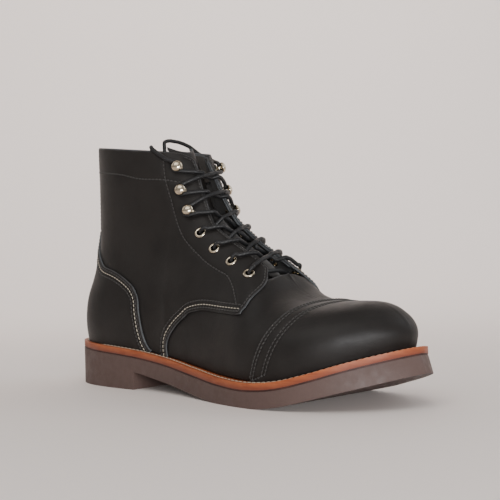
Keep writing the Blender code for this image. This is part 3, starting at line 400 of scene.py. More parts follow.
# ================================================================ material nodes
class Nodes:
    """A small helper for wiring one material."""

    def __init__(self, name, roughness=0.5, metallic=0.0, **constants):
        self.material = bpy.data.materials.new(name)
        self.material.use_nodes = True
        self.tree = self.material.node_tree
        self.shader = self.tree.nodes["Principled BSDF"]
        self.shader.inputs["Roughness"].default_value = roughness
        self.shader.inputs["Metallic"].default_value = metallic
        for socket, value in constants.items():
            self.shader.inputs[socket.replace("_", " ")].default_value = value
        self.place = self.new("ShaderNodeTexCoord").outputs["Object"]

    def new(self, kind):
        return self.tree.nodes.new(kind)

    def link(self, source, target):
        self.tree.links.new(source, target)

    def stretched(self, scale):
        mapping = self.new("ShaderNodeMapping")
        mapping.inputs["Scale"].default_value = scale
        self.link(self.place, mapping.inputs["Vector"])
        return mapping.outputs["Vector"]

    def noise(self, scale, detail=4.0, rough=0.55, place=None, distortion=0.0):
        node = self.new("ShaderNodeTexNoise")
        node.inputs["Scale"].default_value = scale
        node.inputs["Detail"].default_value = detail
        node.inputs["Roughness"].default_value = rough
        node.inputs["Distortion"].default_value = distortion
        self.link(place or self.place, node.inputs["Vector"])
        return node.outputs["Fac"]

    def cells(self, scale, feature="F1", place=None):
        node = self.new("ShaderNodeTexVoronoi")
        node.feature = feature
        node.inputs["Scale"].default_value = scale
        self.link(place or self.place, node.inputs["Vector"])
        return node.outputs["Distance"]

    def ramp(self, value, low, high, to_low=0.0, to_high=1.0):
        node = self.new("ShaderNodeMapRange")
        node.interpolation_type = "SMOOTHSTEP"
        self.link(value, node.inputs["Value"])
        limits = {"From Min": low, "From Max": high, "To Min": to_low, "To Max": to_high}
        for socket, number in limits.items():
            node.inputs[socket].default_value = number
        return node.outputs["Result"]

    def mix(self, share, first, second):
        node = self.new("ShaderNodeMix")
        node.data_type = "RGBA"
        self.put(share, node.inputs[0])
        self.put(first, node.inputs[6])
        self.put(second, node.inputs[7])
        return node.outputs[2]

    def put(self, value, socket):
        if isinstance(value, bpy.types.NodeSocket):
            self.link(value, socket)
        elif isinstance(value, tuple):
            socket.default_value = (*value, 1)
        else:
            socket.default_value = value

    def maths(self, operation, first, second):
        node = self.new("ShaderNodeMath")
        node.operation = operation
        self.put(first, node.inputs[0])
        self.put(second, node.inputs[1])
        return node.outputs[0]

    def attribute(self, name):
        node = self.new("ShaderNodeAttribute")
        node.attribute_name = name
        return node.outputs["Fac"]

    def colour(self, value):
        self.put(value, self.shader.inputs["Base Color"])

    def roughness(self, value):
        self.put(value, self.shader.inputs["Roughness"])

    def bumps(self, *layers):
        """Bump layers, each a height and its depth in millimetres."""
        normal = None
        for height, depth in layers:
            node = self.new("ShaderNodeBump")
            node.inputs["Distance"].default_value = depth * MM
            self.link(height, node.inputs["Height"])
            if normal is not None:
                self.link(normal, node.inputs["Normal"])
            normal = node.outputs["Normal"]
        self.link(normal, self.shader.inputs["Normal"])


def black_leather():
    """Smooth black leather: fine grain and pores, soft mottling, and edges burnished paler."""
    n = Nodes("black_leather", Specular_IOR_Level=0.24)
    patches = n.ramp(n.noise(22, 5, 0.6), 0.3, 0.72)
    base = n.mix(patches, (0.0088, 0.0076, 0.0070), (0.0150, 0.0131, 0.0120))
    dust = n.ramp(n.cells(330), 0.0, 0.055, 1.0, 0.0)
    speck = n.maths("MULTIPLY", dust, n.ramp(n.noise(60, 2), 0.58, 0.72))
    base = n.mix(n.maths("MULTIPLY", speck, 0.35), base, (0.09, 0.08, 0.07))
    worn = n.maths("MULTIPLY", n.attribute("edge"), n.ramp(n.noise(120, 3), 0.3, 0.75, 0.25, 1.0))
    n.colour(n.mix(n.maths("MULTIPLY", worn, 0.85), base, (0.080, 0.082, 0.085)))
    n.roughness(n.maths("ADD", n.ramp(n.noise(35, 6, 0.65), 0.25, 0.75, 0.36, 0.50),
                        n.maths("MULTIPLY", n.noise(900, 2), 0.08)))
    grain = n.cells(1250, "SMOOTH_F1")
    pores = n.ramp(n.cells(620), 0.0, 0.28)
    creases = n.noise(150, 5, 0.62, n.stretched((1, 1, 1.5)), 0.4)
    n.bumps((creases, 0.10), (grain, 0.035), (pores, 0.03))
    return n.material


def raw_edge():
    """The cut edge of the leather: grey, fibrous, with a black surface line left on it in places."""
    n = Nodes("raw_edge", roughness=0.75, Specular_IOR_Level=0.3)
    fibre = n.noise(1400, 5, 0.7)
    blotch = n.ramp(n.noise(180, 3), 0.3, 0.7)
    shade = n.mix(n.ramp(fibre, 0.3, 0.7), (0.045, 0.049, 0.053), (0.150, 0.158, 0.165))
    n.colour(n.mix(n.maths("MULTIPLY", blotch, 0.35), shade, (0.022, 0.023, 0.025)))
    n.bumps((fibre, 0.12))
    return n.material


def flesh_side(name, dark, light, nap=900):
    """The unfinished inner face of leather, or a felted lining."""
    n = Nodes(name, roughness=0.85, Specular_IOR_Level=0.25, Sheen_Weight=0.12, Sheen_Roughness=0.6)
    fibre = n.noise(nap, 6, 0.7)
    n.colour(n.mix(n.ramp(n.noise(40, 5), 0.3, 0.7), dark, light))
    n.bumps((fibre, 0.16), (n.noise(90, 3), 0.2))
    return n.material


def lining_cloth():
    """A plain twill lining."""
    n = Nodes("lining_cloth", roughness=0.9, Specular_IOR_Level=0.2, Sheen_Weight=0.2, Sheen_Roughness=0.5)
    wave = n.new("ShaderNodeTexWave")
    wave.inputs["Scale"].default_value = 260
    wave.inputs["Distortion"].default_value = 0.6
    wave.bands_direction = "DIAGONAL"
    n.link(n.place, wave.inputs["Vector"])
    base = n.mix(n.ramp(n.noise(30, 4), 0.3, 0.7), (0.12, 0.085, 0.055), (0.17, 0.125, 0.085))
    n.colour(n.mix(n.maths("MULTIPLY", wave.outputs["Fac"], 0.35), base, (0.22, 0.17, 0.12)))
    n.bumps((wave.outputs["Fac"], 0.15), (n.noise(1200, 3), 0.08))
    return n.material


def welt_leather():
    """Orange-brown welt leather, darker along its lower edge."""
    n = Nodes("welt_leather", Specular_IOR_Level=0.4)
    streak = n.noise(60, 6, 0.6, n.stretched((1, 1, 7)), 0.3)
    base = n.mix(n.ramp(streak, 0.3, 0.72), (0.260, 0.058, 0.017), (0.385, 0.108, 0.035))
    spots = n.ramp(n.cells(140), 0.0, 0.22, 1.0, 0.0)
    base = n.mix(n.maths("MULTIPLY", spots, 0.25), base, (0.20, 0.05, 0.02))
    n.colour(n.mix(n.maths("MULTIPLY", n.attribute("low"), 0.8), base, (0.13, 0.030, 0.018)))
    n.roughness(n.ramp(n.noise(90, 4), 0.3, 0.7, 0.42, 0.6))
    n.bumps((n.noise(1100, 4), 0.04), (streak, 0.08))
    return n.material


def sole_rubber():
    """Purplish-brown rubber with a fine ground texture, pale scuffs and faint mould waves."""
    n = Nodes("sole_rubber", Specular_IOR_Level=0.38)
    base = n.mix(n.ramp(n.noise(28, 6, 0.62), 0.28, 0.72), (0.042, 0.0225, 0.0185), (0.062, 0.036, 0.030))
    ground = n.noise(420, 4, 0.7)
    base = n.mix(n.maths("MULTIPLY", n.ramp(ground, 0.45, 0.8), 0.3), base, (0.105, 0.070, 0.060))
    scuff = n.maths("MULTIPLY", n.ramp(n.noise(70, 7, 0.8, n.stretched((0.6, 0.6, 3.0)), 1.2), 0.62, 0.74),
                    n.ramp(n.noise(12, 2), 0.5, 0.65))
    base = n.mix(n.maths("MULTIPLY", scuff, 0.4), base, (0.17, 0.13, 0.115))
    n.colour(n.mix(n.maths("MULTIPLY", n.attribute("edge"), 0.45), base, (0.120, 0.080, 0.070)))
    n.roughness(n.ramp(n.noise(160, 4), 0.3, 0.7, 0.5, 0.68))
    n.bumps((ground, 0.07), (n.noise(1500, 3), 0.03))
    return n.material


def dark_rubber():
    n = Nodes("dark_rubber", roughness=0.6, Specular_IOR_Level=0.35)
    n.colour(n.mix(n.ramp(n.noise(120, 4), 0.3, 0.7), (0.030, 0.012, 0.010), (0.060, 0.022, 0.017)))
    n.bumps((n.noise(900, 3), 0.05))
    return n.material


def cork_filler():
    n = Nodes("cork_granules", roughness=0.9)
    grains = n.cells(420)
    n.colour(n.mix(n.ramp(grains, 0.1, 0.6), (0.12, 0.06, 0.03), (0.42, 0.26, 0.14)))
    n.bumps((grains, 0.3))
    return n.material


def fibre_board():
    n = Nodes("fibre_board", roughness=0.9)
    n.colour(n.mix(n.noise(160, 6, 0.7), (0.16, 0.11, 0.07), (0.33, 0.25, 0.17)))
    n.bumps((n.noise(700, 5, 0.7), 0.12))
    return n.material


def spring_steel():
    n = Nodes("spring_steel", metallic=1.0)
    n.colour(n.mix(n.noise(300, 3, 0.5, n.stretched((0.05, 1, 1))), (0.30, 0.30, 0.31), (0.55, 0.55, 0.57)))
    n.roughness(n.ramp(n.noise(400, 3, 0.5, n.stretched((0.05, 1, 1))), 0.3, 0.7, 0.25, 0.45))
    return n.material


def nickel():
    """Warm nickel plate with faint haze and fine scratches."""
    n = Nodes("nickel_plate", metallic=1.0)
    haze = n.noise(260, 5, 0.65)
    n.colour(n.mix(n.ramp(haze, 0.35, 0.75), (0.68, 0.60, 0.47), (0.42, 0.35, 0.25)))
    scratch = n.noise(900, 4, 0.7, n.stretched((0.2, 1, 2.5)))
    n.roughness(n.ramp(n.maths("MULTIPLY", haze, scratch), 0.15, 0.4, 0.10, 0.26))
    n.bumps((scratch, 0.01))
    return n.material


def waxed_cord():
    """Black waxed braid: the crowns of the braid are polished, the hollows hold pale wax."""
    n = Nodes("waxed_cord", Specular_IOR_Level=0.32)
    n.colour(n.mix(n.attribute("hollow"), (0.0075, 0.0075, 0.0080), (0.019, 0.019, 0.020)))
    n.roughness(n.ramp(n.noise(500, 4), 0.3, 0.7, 0.38, 0.6))
    n.bumps((n.noise(2500, 3), 0.03))
    return n.material


def thread(name, dark, light):
    n = Nodes(name, roughness=0.65, Specular_IOR_Level=0.35, Sheen_Weight=0.1, Sheen_Roughness=0.5)
    n.colour(n.mix(n.noise(700, 4, 0.7), dark, light))
    n.bumps((n.noise(2600, 2, 0.5, n.stretched((1, 1, 2))), 0.06))
    return n.material


def aglet_plastic():
    n = Nodes("aglet_plastic", Specular_IOR_Level=0.5)
    n.colour(n.mix(n.noise(300, 3), (0.010, 0.010, 0.011), (0.024, 0.023, 0.024)))
    n.roughness(n.ramp(n.noise(600, 3), 0.3, 0.7, 0.22, 0.4))
    return n.material


LEATHER = black_leather()
EDGE = raw_edge()
FLESH = flesh_side("flesh_side", (0.020, 0.018, 0.017), (0.050, 0.046, 0.043))
INNER = flesh_side("inner_leather", (0.026, 0.021, 0.017), (0.050, 0.040, 0.032))
LINING = lining_cloth()
WELT = welt_leather()
RUBBER = sole_rubber()
LINE_RUBBER = dark_rubber()
CORK = cork_filler()
BOARD = fibre_board()
STEEL = spring_steel()
NICKEL = nickel()
CORD = waxed_cord()
CREAM = thread("cream_thread", (0.34, 0.30, 0.235), (0.56, 0.51, 0.42))
WELT_THREAD = thread("welt_thread", (0.26, 0.20, 0.14), (0.46, 0.38, 0.28))
BLACK_THREAD = thread("black_thread", (0.018, 0.0165, 0.0155), (0.044, 0.041, 0.038))
AGLET = aglet_plastic()


# ================================================================ mesh helpers
def in_scene(name, data):
    """A new object in the scene."""
    made = bpy.data.objects.new(name, data)
    bpy.context.scene.collection.objects.link(made)
    return made


def mesh_object(name, points, faces, looks, body="root"):
    """A mesh of working-frame points, riding on a body."""
    mesh = bpy.data.meshes.new(name)
    mesh.from_pydata(world(points).tolist(), [], faces)
    for look in looks:
        mesh.materials.append(look)
    mesh.shade_smooth()
    made = in_scene(name, mesh)
    if body:
        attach(made, body)
    return made


def add_attribute(made, name, values):
    attribute = made.data.attributes.new(name, "FLOAT", "POINT")
    attribute.data.foreach_set("value", np.asarray(values, np.float32))


CREST = 3.0                # the crest of the foot is rounded off over this many mm for directions


def outward(points):
    shift = 0.4 * np.eye(3)
    slope = [(upper_field(points + shift[c], CREST) - upper_field(points - shift[c], CREST)) / 0.8
             for c in range(3)]
    slope = np.stack(slope, axis=-1)
    steepness = np.linalg.norm(slope, axis=-1)
    return slope / steepness[..., None], np.maximum(steepness, 0.2)


def onto_form(points):
    """Points moved onto the form, with the form's outward directions there."""
    for _ in range(2):
        away = upper_field(points)
        out, steepness = outward(points)
        points = points - out * np.clip(away / steepness, -0.5, 0.5)[..., None]
    return points, outward(points)[0]


def steadied(directions, window=9):
    """A grid of directions, each the median of its column's neighbours, so that none stands out."""
    padded = np.pad(directions, ((window // 2, window // 2), (0, 0), (0, 0)), mode="edge")
    return unit(np.median(np.lib.stride_tricks.sliding_window_view(padded, window, axis=0), axis=-1))


def smoothly(value, low, high):
    share = np.clip((value - low) / (high - low), 0, 1)
    return share * share * (3 - 2 * share)


def close_to_ends(count, span_mm, near_start=True, near_end=True):
    """Shares from 0 to 1, with extra ones beside the ends for a rounded edge."""
    inner = np.linspace(0, 1, count)
    extra = [mm / span_mm for mm in (0.35, 0.8, 1.4)]
    if near_start:
        inner = np.concatenate([inner, extra])
    if near_end:
        inner = np.concatenate([inner, 1 - np.array(extra)])
    return np.unique(np.round(inner, 5))


def undulation(points):
    """Slow, shallow waves of worn-in leather, in mm."""
    x, y, z = points[..., 0], points[..., 1], points[..., 2]
    side = 0.95 + 0.95 * np.tanh(y / 12)
    wave = (np.sin(x / 17 + z / 23 + side) * np.sin(z / 19 - x / 31 + 1.3)
            + 0.6 * np.sin(x / 9.5 - z / 13 + 2.1 * side) * np.sin(z / 8.5 + x / 27))
    ankle = np.exp(-(((x - 78) / 42) ** 2 + ((z - 88) / 34) ** 2))
    return 0.22 * wave * (0.35 + 1.3 * ankle)


STITCH_LINES = {}          # by name, the rows of stitches that pull the leather down a little


def furrow(points, rows, depth=0.28, width=1.3):
    """How far, in mm, the stitch rows whose names start with any of these pull the leather down."""
    flat = points.reshape(-1, 3)
    pull = np.zeros(len(flat))
    chosen_lines = [line for name, lines in STITCH_LINES.items() if name.startswith(rows) for line in lines]
    for line in chosen_lines:
        low, high = line.min(axis=0) - 3, line.max(axis=0) + 3
        near = np.nonzero(np.all((flat > low) & (flat < high), axis=1))[0]
        for start in range(0, len(near), 4000):
            chosen = near[start:start + 4000]
            gap = np.linalg.norm(flat[chosen][:, None] - line[None], axis=2).min(axis=1)
            pull[chosen] = np.maximum(pull[chosen], np.exp(-(gap / width) ** 2))
    return (pull * depth).reshape(points.shape[:-1])


def leather(name, patches, lift, thickness, replaces, looks=None, open_edges=(1, 1, 1, 1), droop=0.45,
            body="root", wavy=1.0, stitched=()):
    """A leather piece: patches of the form with rounded edges, thickened inwards.

    open_edges says which sides of each patch are cut edges: first row, last row, first column, last column.
    """
    looks = looks or [LEATHER, EDGE, FLESH]
    bm_points, faces, wear, count = [], [], [], 0
    for side, t, v in patches:
        t, v = np.broadcast_arrays(t, v)
        base, out = onto_form(on_upper(side, t, v))
        out = steadied(out)
        down = np.linalg.norm(np.diff(base, axis=0), axis=2)
        along = np.linalg.norm(np.diff(base, axis=1), axis=2)
        down = np.concatenate([np.zeros((1, base.shape[1])), np.cumsum(down, axis=0)])
        along = np.concatenate([np.zeros((base.shape[0], 1)), np.cumsum(along, axis=1)], axis=1)
        gaps = [down, down[-1:] - down, along, along[:, -1:] - along]
        reach = np.full(base.shape[:2], 50.0)
        for open_edge, gap in zip(open_edges, gaps):
            if open_edge:
                reach = np.minimum(reach, gap)
        height = np.full(base.shape[:2], float(lift)) - droop * (1 - smoothly(reach, 0, 1.3)) ** 2
        height = height + undulation(base) * wavy
        if stitched:
            height = height - furrow(base, stitched)
        points = base + out * height[..., None]
        rows, columns = points.shape[:2]
        index = count + np.arange(rows * columns).reshape(rows, columns)
        i, j = rows // 2, columns // 2
        turned = np.dot(np.cross(base[i, j] - base[i - 1, j], base[i, j] - base[i, j - 1]), out[i, j]) > 0
        corners = [index[:-1, :-1], index[1:, :-1], index[1:, 1:], index[:-1, 1:]]
        quads = np.stack(corners, axis=-1).reshape(-1, 4)
        faces.append(quads if turned else quads[:, ::-1])
        bm_points.append(points.reshape(-1, 3))
        wear.append(np.exp(-((reach / 1.0) ** 2)).ravel())
        count += rows * columns
    made = mesh_object(name, np.vstack(bm_points), np.vstack(faces).tolist(), looks, body=None)
    add_attribute(made, "edge", np.concatenate(wear))
    bm = bmesh.new()
    bm.from_mesh(made.data)
    bmesh.ops.remove_doubles(bm, verts=bm.verts[:], dist=4e-5)
    bm.to_mesh(made.data)
    bm.free()
    solid = made.modifiers.new("thickness", "SOLIDIFY")
    solid.thickness = thickness * MM
    solid.offset = -1
    solid.material_offset = 2
    solid.material_offset_rim = 1
    apply_modifiers(made)
    if body:
        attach(made, body)
    if replaces:
        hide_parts(*replaces)
    return made


def apply_modifiers(made):
    bpy.context.view_layer.update()
    graph = bpy.context.evaluated_depsgraph_get()
    mesh = bpy.data.meshes.new_from_object(made.evaluated_get(graph))
    made.modifiers.clear()
    made.data = mesh


def tube_mesh(paths, outs, radii, sides=6, flat=1.0):
    """Closed tubes along short paths, all with the same number of points: vertices and faces."""
    paths = np.asarray(paths)
    outs = np.asarray(outs)
    ways = np.gradient(paths, axis=1)
    ways = unit(ways)
    across = unit(np.cross(ways, outs))
    up = np.cross(across, ways)
    angle = np.arange(sides) / sides * 2 * math.pi
    ring = (across[:, :, None] * np.cos(angle)[None, None, :, None]
            + up[:, :, None] * np.sin(angle)[None, None, :, None] * flat)
    points = paths[:, :, None] + ring * np.asarray(radii)[None, :, None, None]
    number, steps = paths.shape[:2]
    index = np.arange(number * steps * sides).reshape(number, steps, sides)
    following = np.roll(index, -1, axis=2)
    corners = [index[:, :-1], following[:, :-1], following[:, 1:], index[:, 1:]]
    quads = np.stack(corners, axis=-1).reshape(-1, 4)
    faces = quads.tolist() + index[:, 0, ::-1].tolist() + index[:, -1].tolist()
    return points.reshape(-1, 3), faces


# ================================================================ seams
# of a stitch: the thread's radius in mm, its share of the pitch, and how far it stands up in mm
FINE_STITCH = (0.30, 0.66, 0.10)
BOLD_STITCH = (0.46, 0.64, 0.26)


def seam_points(side, t, v):
    """A line on the form through (t, v) places."""
    points, _ = onto_form(on_upper(side, np.asarray(t, float), np.asarray(v, float)))
    return points


def spaced(points, step):
    run = run_of(points)
    count = max(int(round(run[-1] / step)), 1)
    at = np.linspace(0, run[-1], count + 1)
    return np.stack([np.interp(at, run, points[:, c]) for c in range(3)], axis=1)


def eased(directions, window):
    """Directions along a line, averaged over a few neighbours."""
    padded = np.pad(directions, ((window // 2, window // 2), (0, 0)), mode="edge")
    share = np.full(window, 1 / window)
    return unit(np.stack([np.convolve(padded[:, c], share, mode="valid") for c in range(3)], axis=1))


def beside(line, distance, towards):
    """A line on the form, at a distance beside another; towards is a point on the wanted side."""
    line = spaced(line, 1.2)
    line[1:-1] = (line[:-2] + 2 * line[1:-1] + line[2:]) / 4
    out = eased(outward(line)[0], 7)
    way = unit(np.gradient(line, axis=0))
    across = unit(np.cross(out, way))
    middle = len(line) // 2
    if np.dot(across[middle], np.asarray(towards) - line[middle]) < 0:
        across = -across
    return onto_form(line + across * distance)[0]


def stitch_row(name, lines, look, lift, pitch=3.0):
    """A row of stitches along lines on the form, at a height above it. Each stitch dips into the leather."""
    radius, share, proud = FINE_STITCH if look is CREAM else BOLD_STITCH
    paths, outs = [], []
    for line in lines:
        smooth = spaced(line, 0.5)
        out = eased(outward(smooth)[0], 13)
        run = run_of(smooth)
        count = max(int(run[-1] / pitch), 1)
        starts = (np.arange(count) + (1 - share) / 2) * run[-1] / count
        rise = np.array([-0.75, -0.05, 0.9, 1.0, 0.9, -0.05, -0.75])
        for start in starts:
            at = start + share * pitch * np.array([-0.03, 0.02, 0.22, 0.5, 0.78, 0.98, 1.03])
            middle = np.stack([np.interp(at, run, smooth[:, c]) for c in range(3)], axis=1)
            facing = unit(np.stack([np.interp(at, run, out[:, c]) for c in range(3)], axis=1))
            height = lift + undulation(middle) - 0.22 + proud * rise
            paths.append(middle + facing * height[:, None])
            outs.append(facing)
    radii = radius * np.array([0.55, 0.8, 1, 1.05, 1, 0.8, 0.55])
    points, faces = tube_mesh(paths, outs, radii, sides=6)
    mesh_object(name, points, faces, [look])


def quarter_front_line(side):
    """The cut edge of a quarter from the lowest corner of its flap down to the welt."""
    shares = np.linspace(0, 1, 90)
    t = curve_through(QUARTER_FRONT, shares)
    edge = seam_v(FLAP_EDGE, t)
    v = edge + (lowest_v(t) - edge) * shares
    return seam_points(side, t, v), shares


def lowest_v(t, clearance=0.5):
    """How far down a section a piece reaches."""
    return 1 - clearance / section_length(t)


# ================================================================ leather lifts of the finished boot
LAYER = 1.65               # one leather on another
VAMP_TOP = -LAYER
HIDDEN_TOP = -LAYER - 0.1  # the stiffeners under the cap and the counter
LINING_TOP, LINING_CLOTH = -3.6, 1.0
OVERLAY_TOP = 1.75
LEATHER_THICKNESS = 1.6
FACING_THICKNESS = 1.2
CAP_FRONT_T = -0.985
BACKSTAY_FROM_T, BACKSTAY_TO_T = 0.8535, 0.997


FACING_STITCH = [(0.23, 0.50), (0.26, 0.455), (0.31, 0.388), (0.36, 0.338), (0.41, 0.325), (0.45, 0.312),
                 (0.52, 0.275), (0.61, 0.222), (0.71, 0.202), (0.80, 0.222), (0.89, 0.237), (0.97, 0.222)]
BAND_STITCH = [(0.10, 0.83), (0.237, 0.883), (0.40, 0.912), (0.50, 0.929), (0.688, 0.943), (1.0, 0.952)]
CAP_STITCH = [(0, -0.075), (0.25, -0.075), (0.5, -0.072), (0.75, -0.07), (1, -0.075)]


# rows of stitches beside an edge: name, distance from it in mm, thread
TRIPLE_ROW = (("outer", 2.1, BLACK_THREAD), ("middle", 4.3, CREAM), ("inner", 7.2, BLACK_THREAD))
COUNTER_TRIPLE_ROW = (("outer", 2.1, BLACK_THREAD), ("middle", 4.3, CREAM), ("inner", 6.8, BLACK_THREAD))
CAP_ROWS = (("first", 0.0), ("second", 2.6), ("third", 9.6), ("fourth", 12.2))


def both_sides(t, v):
    """The same patch on either side, for a piece that runs over the ridge or the back seam."""
    return [(side, t, v) for side in (LATERAL, MEDIAL)]


def column(values):
    return np.asarray(values, float)[:, None]


def row(values):
    return np.asarray(values, float)[None, :]


def ahead_of_cap_seam(side, v, distance):
    """A line on the toe cap, at a distance in front of its rearmost stitches."""
    steps = column(np.linspace(0, 0.6, 60))
    points = on_upper(side, curve_through(CAP_STITCH, v) - steps, v)
    run = np.cumsum(np.linalg.norm(np.diff(points, axis=0), axis=2), axis=0)
    run = np.vstack([np.zeros(len(v)), run])
    step = np.array([np.interp(distance, run[:, k], steps[:, 0]) for k in range(len(v))])
    return on_upper(side, curve_through(CAP_STITCH, v) - step, v)


def find_seams():
    """The stitch rows: name, lines, thread and height of each, worked out before the leather is."""
    rows = []
    flank = {side: on_upper(side, 0.75, 0.55) for side in (LATERAL, MEDIAL)}
    for side, word in SIDES:
        front, shares = quarter_front_line(side)
        lower = front[shares > 0.475]
        for label, distance, look in TRIPLE_ROW:
            rows.append((f"seam_quarter_{label}_{word}", [beside(lower, distance, flank[side])], look, 0.0))
        flap_t = np.linspace(0.99, 0.285, 90)
        flap = np.vstack([seam_points(side, flap_t, seam_v(FLAP_EDGE, flap_t)), front[shares < 0.5][1:]])
        rows.append((f"seam_flap_{word}", [beside(flap, 2.3, flank[side])], BLACK_THREAD, 0.0))
        t = np.linspace(0.965, 0.235, 90)
        facing = seam_points(side, t, seam_v(FACING_STITCH, t))
        rows.append((f"seam_facing_{word}", [facing], BLACK_THREAD, 0.0))
        v = np.linspace(0.12, 0.985, 70)
        band = seam_points(side, curve_through(BAND_STITCH, v), v)
        rows.append((f"seam_band_{word}", [band], BLACK_THREAD, 0.0))
        t = np.linspace(0.853, 0.452, 80)
        counter = seam_points(side, t, np.minimum(seam_v(COUNTER_EDGE, t), lowest_v(t)))
        heel = on_upper(side, 0.62, 0.93)
        for label, distance, look in COUNTER_TRIPLE_ROW:
            line = beside(counter, distance, heel)
            rows.append((f"seam_counter_{label}_{word}", [line], look, OVERLAY_TOP))
        t = np.linspace(0.862, 0.985, 40)
        strip = seam_points(side, t, 1 - (BACKSTAY_HALF_WIDTH - 2.2) / section_length(t))
        rows.append((f"seam_backstay_{word}", [strip], BLACK_THREAD, OVERLAY_TOP))
    v = np.linspace(0, 0.975, 90)
    for label, distance in CAP_ROWS:
        lateral, medial = [ahead_of_cap_seam(side, v, distance) for side in (LATERAL, MEDIAL)]
        rows.append((f"seam_cap_{label}", [np.vstack([lateral[::-1], medial[1:]])], BLACK_THREAD, 0.0))
    return rows


def build_forefoot():
    cap_t = column(CAP_FRONT_T + (CAP_EDGE_T - CAP_FRONT_T) * close_to_ends(90, 70))
    cap_v = row(np.linspace(0, 0.992, 100))
    leather("toe_cap_leather", both_sides(cap_t, cap_v), 0.0, LEATHER_THICKNESS, ["toe_cap"],
            open_edges=(0, 1, 0, 0), wavy=0.25, stitched=("seam_cap",))
    shares = column(close_to_ends(110, 110, near_start=False))
    vamp_v = row(np.linspace(0, 1, 110))
    rear = curve_through(VAMP_REAR, vamp_v)
    t = VAMP_FRONT_T + (rear - VAMP_FRONT_T) * shares
    v = vamp_v * np.where(t < 0, 0.99, lowest_v(t))
    leather("vamp_leather", both_sides(t, v), VAMP_TOP, LEATHER_THICKNESS, ["vamp"],
            open_edges=(0, 1, 0, 0), wavy=0.8)
    puff_t = column(np.linspace(PUFF_FRONT_T, VAMP_FRONT_T - 0.02, 34))
    leather("toe_puff_board", both_sides(puff_t, row(np.linspace(0, 0.95, 44))), HIDDEN_TOP, 1.4,
            ["toe_puff"], looks=[BOARD, BOARD, BOARD], wavy=0.25)
    shares = column(np.linspace(0, 1, 70))
    lining_v = row(np.linspace(0, 1, 60))
    rear = curve_through(LINING_REAR, lining_v)
    t = LINING_FRONT_T + (rear - LINING_FRONT_T) * shares
    v = lining_v * np.where(t < 0.04, 0.93, 0.96)
    leather("vamp_lining_cloth", both_sides(t, v), LINING_TOP, LINING_CLOTH, ["vamp_lining"],
            looks=[LINING, LINING, LINING], wavy=0.5)


def quarter_patch(side):
    shares = row(close_to_ends(130, 140, near_end=False))
    front = curve_through(QUARTER_FRONT, shares)
    t = front + (1.0 - front) * column(close_to_ends(150, 150))
    edge = seam_v(FLAP_EDGE, t)
    low = np.where(t < HEEL_T, lowest_v(t), 1.0)
    return side, t, edge + (low - edge) * shares


def facing_patch(side):
    t = column(FACING_FROM_T + (FACING_TO_T - FACING_FROM_T) * close_to_ends(80, 110))
    edge = seam_v(FLAP_EDGE, t) + 0.002
    back = seam_v(FACING_BACK, t)
    return side, t, edge + (back - edge) * row(close_to_ends(24, 26))


def build_quarters():
    for side, word in SIDES:
        quarter = leather("quarter_leather_" + word, [quarter_patch(side)], 0.0, LEATHER_THICKNESS,
                          ["quarter_" + word], open_edges=(1, 1, 1, 0),
                          stitched=("seam_quarter", "seam_flap", "seam_facing", "seam_band"))
        facing = leather("facing_leather_" + word, [facing_patch(side)], -LAYER, FACING_THICKNESS,
                         ["facing_" + word])
        punch(quarter, side)
        punch(facing, side)
    band_v = row(np.linspace(0.27, 1, 120))
    low = curve_through(BAND_FROM, band_v)
    t = low + (0.992 - low) * column(close_to_ends(14, 16))
    leather("collar_band_leather", both_sides(t, np.broadcast_to(band_v, t.shape)), -LAYER, FACING_THICKNESS,
            ["collar_band"], looks=[INNER, EDGE, INNER], open_edges=(1, 1, 0, 0))


def punch(made, side):
    """Holes for the eyelets and hooks."""
    bm = bmesh.new()
    for number, (t, v) in enumerate(ROWS):
        radius = EYELET_BARREL + 0.2 if number < EYELET_ROWS else HOOK_STEM + 0.2
        bmesh.ops.create_cone(bm, cap_ends=True, segments=28, radius1=radius * MM, radius2=radius * MM,
                              depth=14 * MM, matrix=fastener_place(side, t, v))
    mesh = bpy.data.meshes.new("punch")
    bm.to_mesh(mesh)
    bm.free()
    tool = in_scene("punch", mesh)
    boolean = made.modifiers.new("holes", "BOOLEAN")
    boolean.object = tool
    boolean.operation = "DIFFERENCE"
    apply_modifiers(made)
    bpy.data.objects.remove(tool)


def fastener_place(side, t, v):
    """The matrix that stands a turned piece on the form, its axis outwards."""
    point, out = onto_form(on_upper(side, t, v)[None])
    turn = Vector(out[0]).to_track_quat("Z", "Y").to_matrix().to_4x4()
    return Matrix.Translation(Vector(world(point[0]))) @ turn


def edged_patch(side, edge_points, rows, shares, clearance):
    """A patch from a curved upper edge down to the welt, with extra rows where it rounds the heel."""
    t = np.linspace(edge_points[0][0], edge_points[-1][0], rows)
    t = column(np.sort(np.append(t, [HEEL_T - 0.004, HEEL_T - 0.012, HEEL_T + 0.004])))
    edge = seam_v(edge_points, t)
    low = np.where(t < HEEL_T, lowest_v(t, clearance), 1.0)
    edge = np.minimum(edge, low - 0.02)
    return side, t, edge + (low - edge) * row(shares)


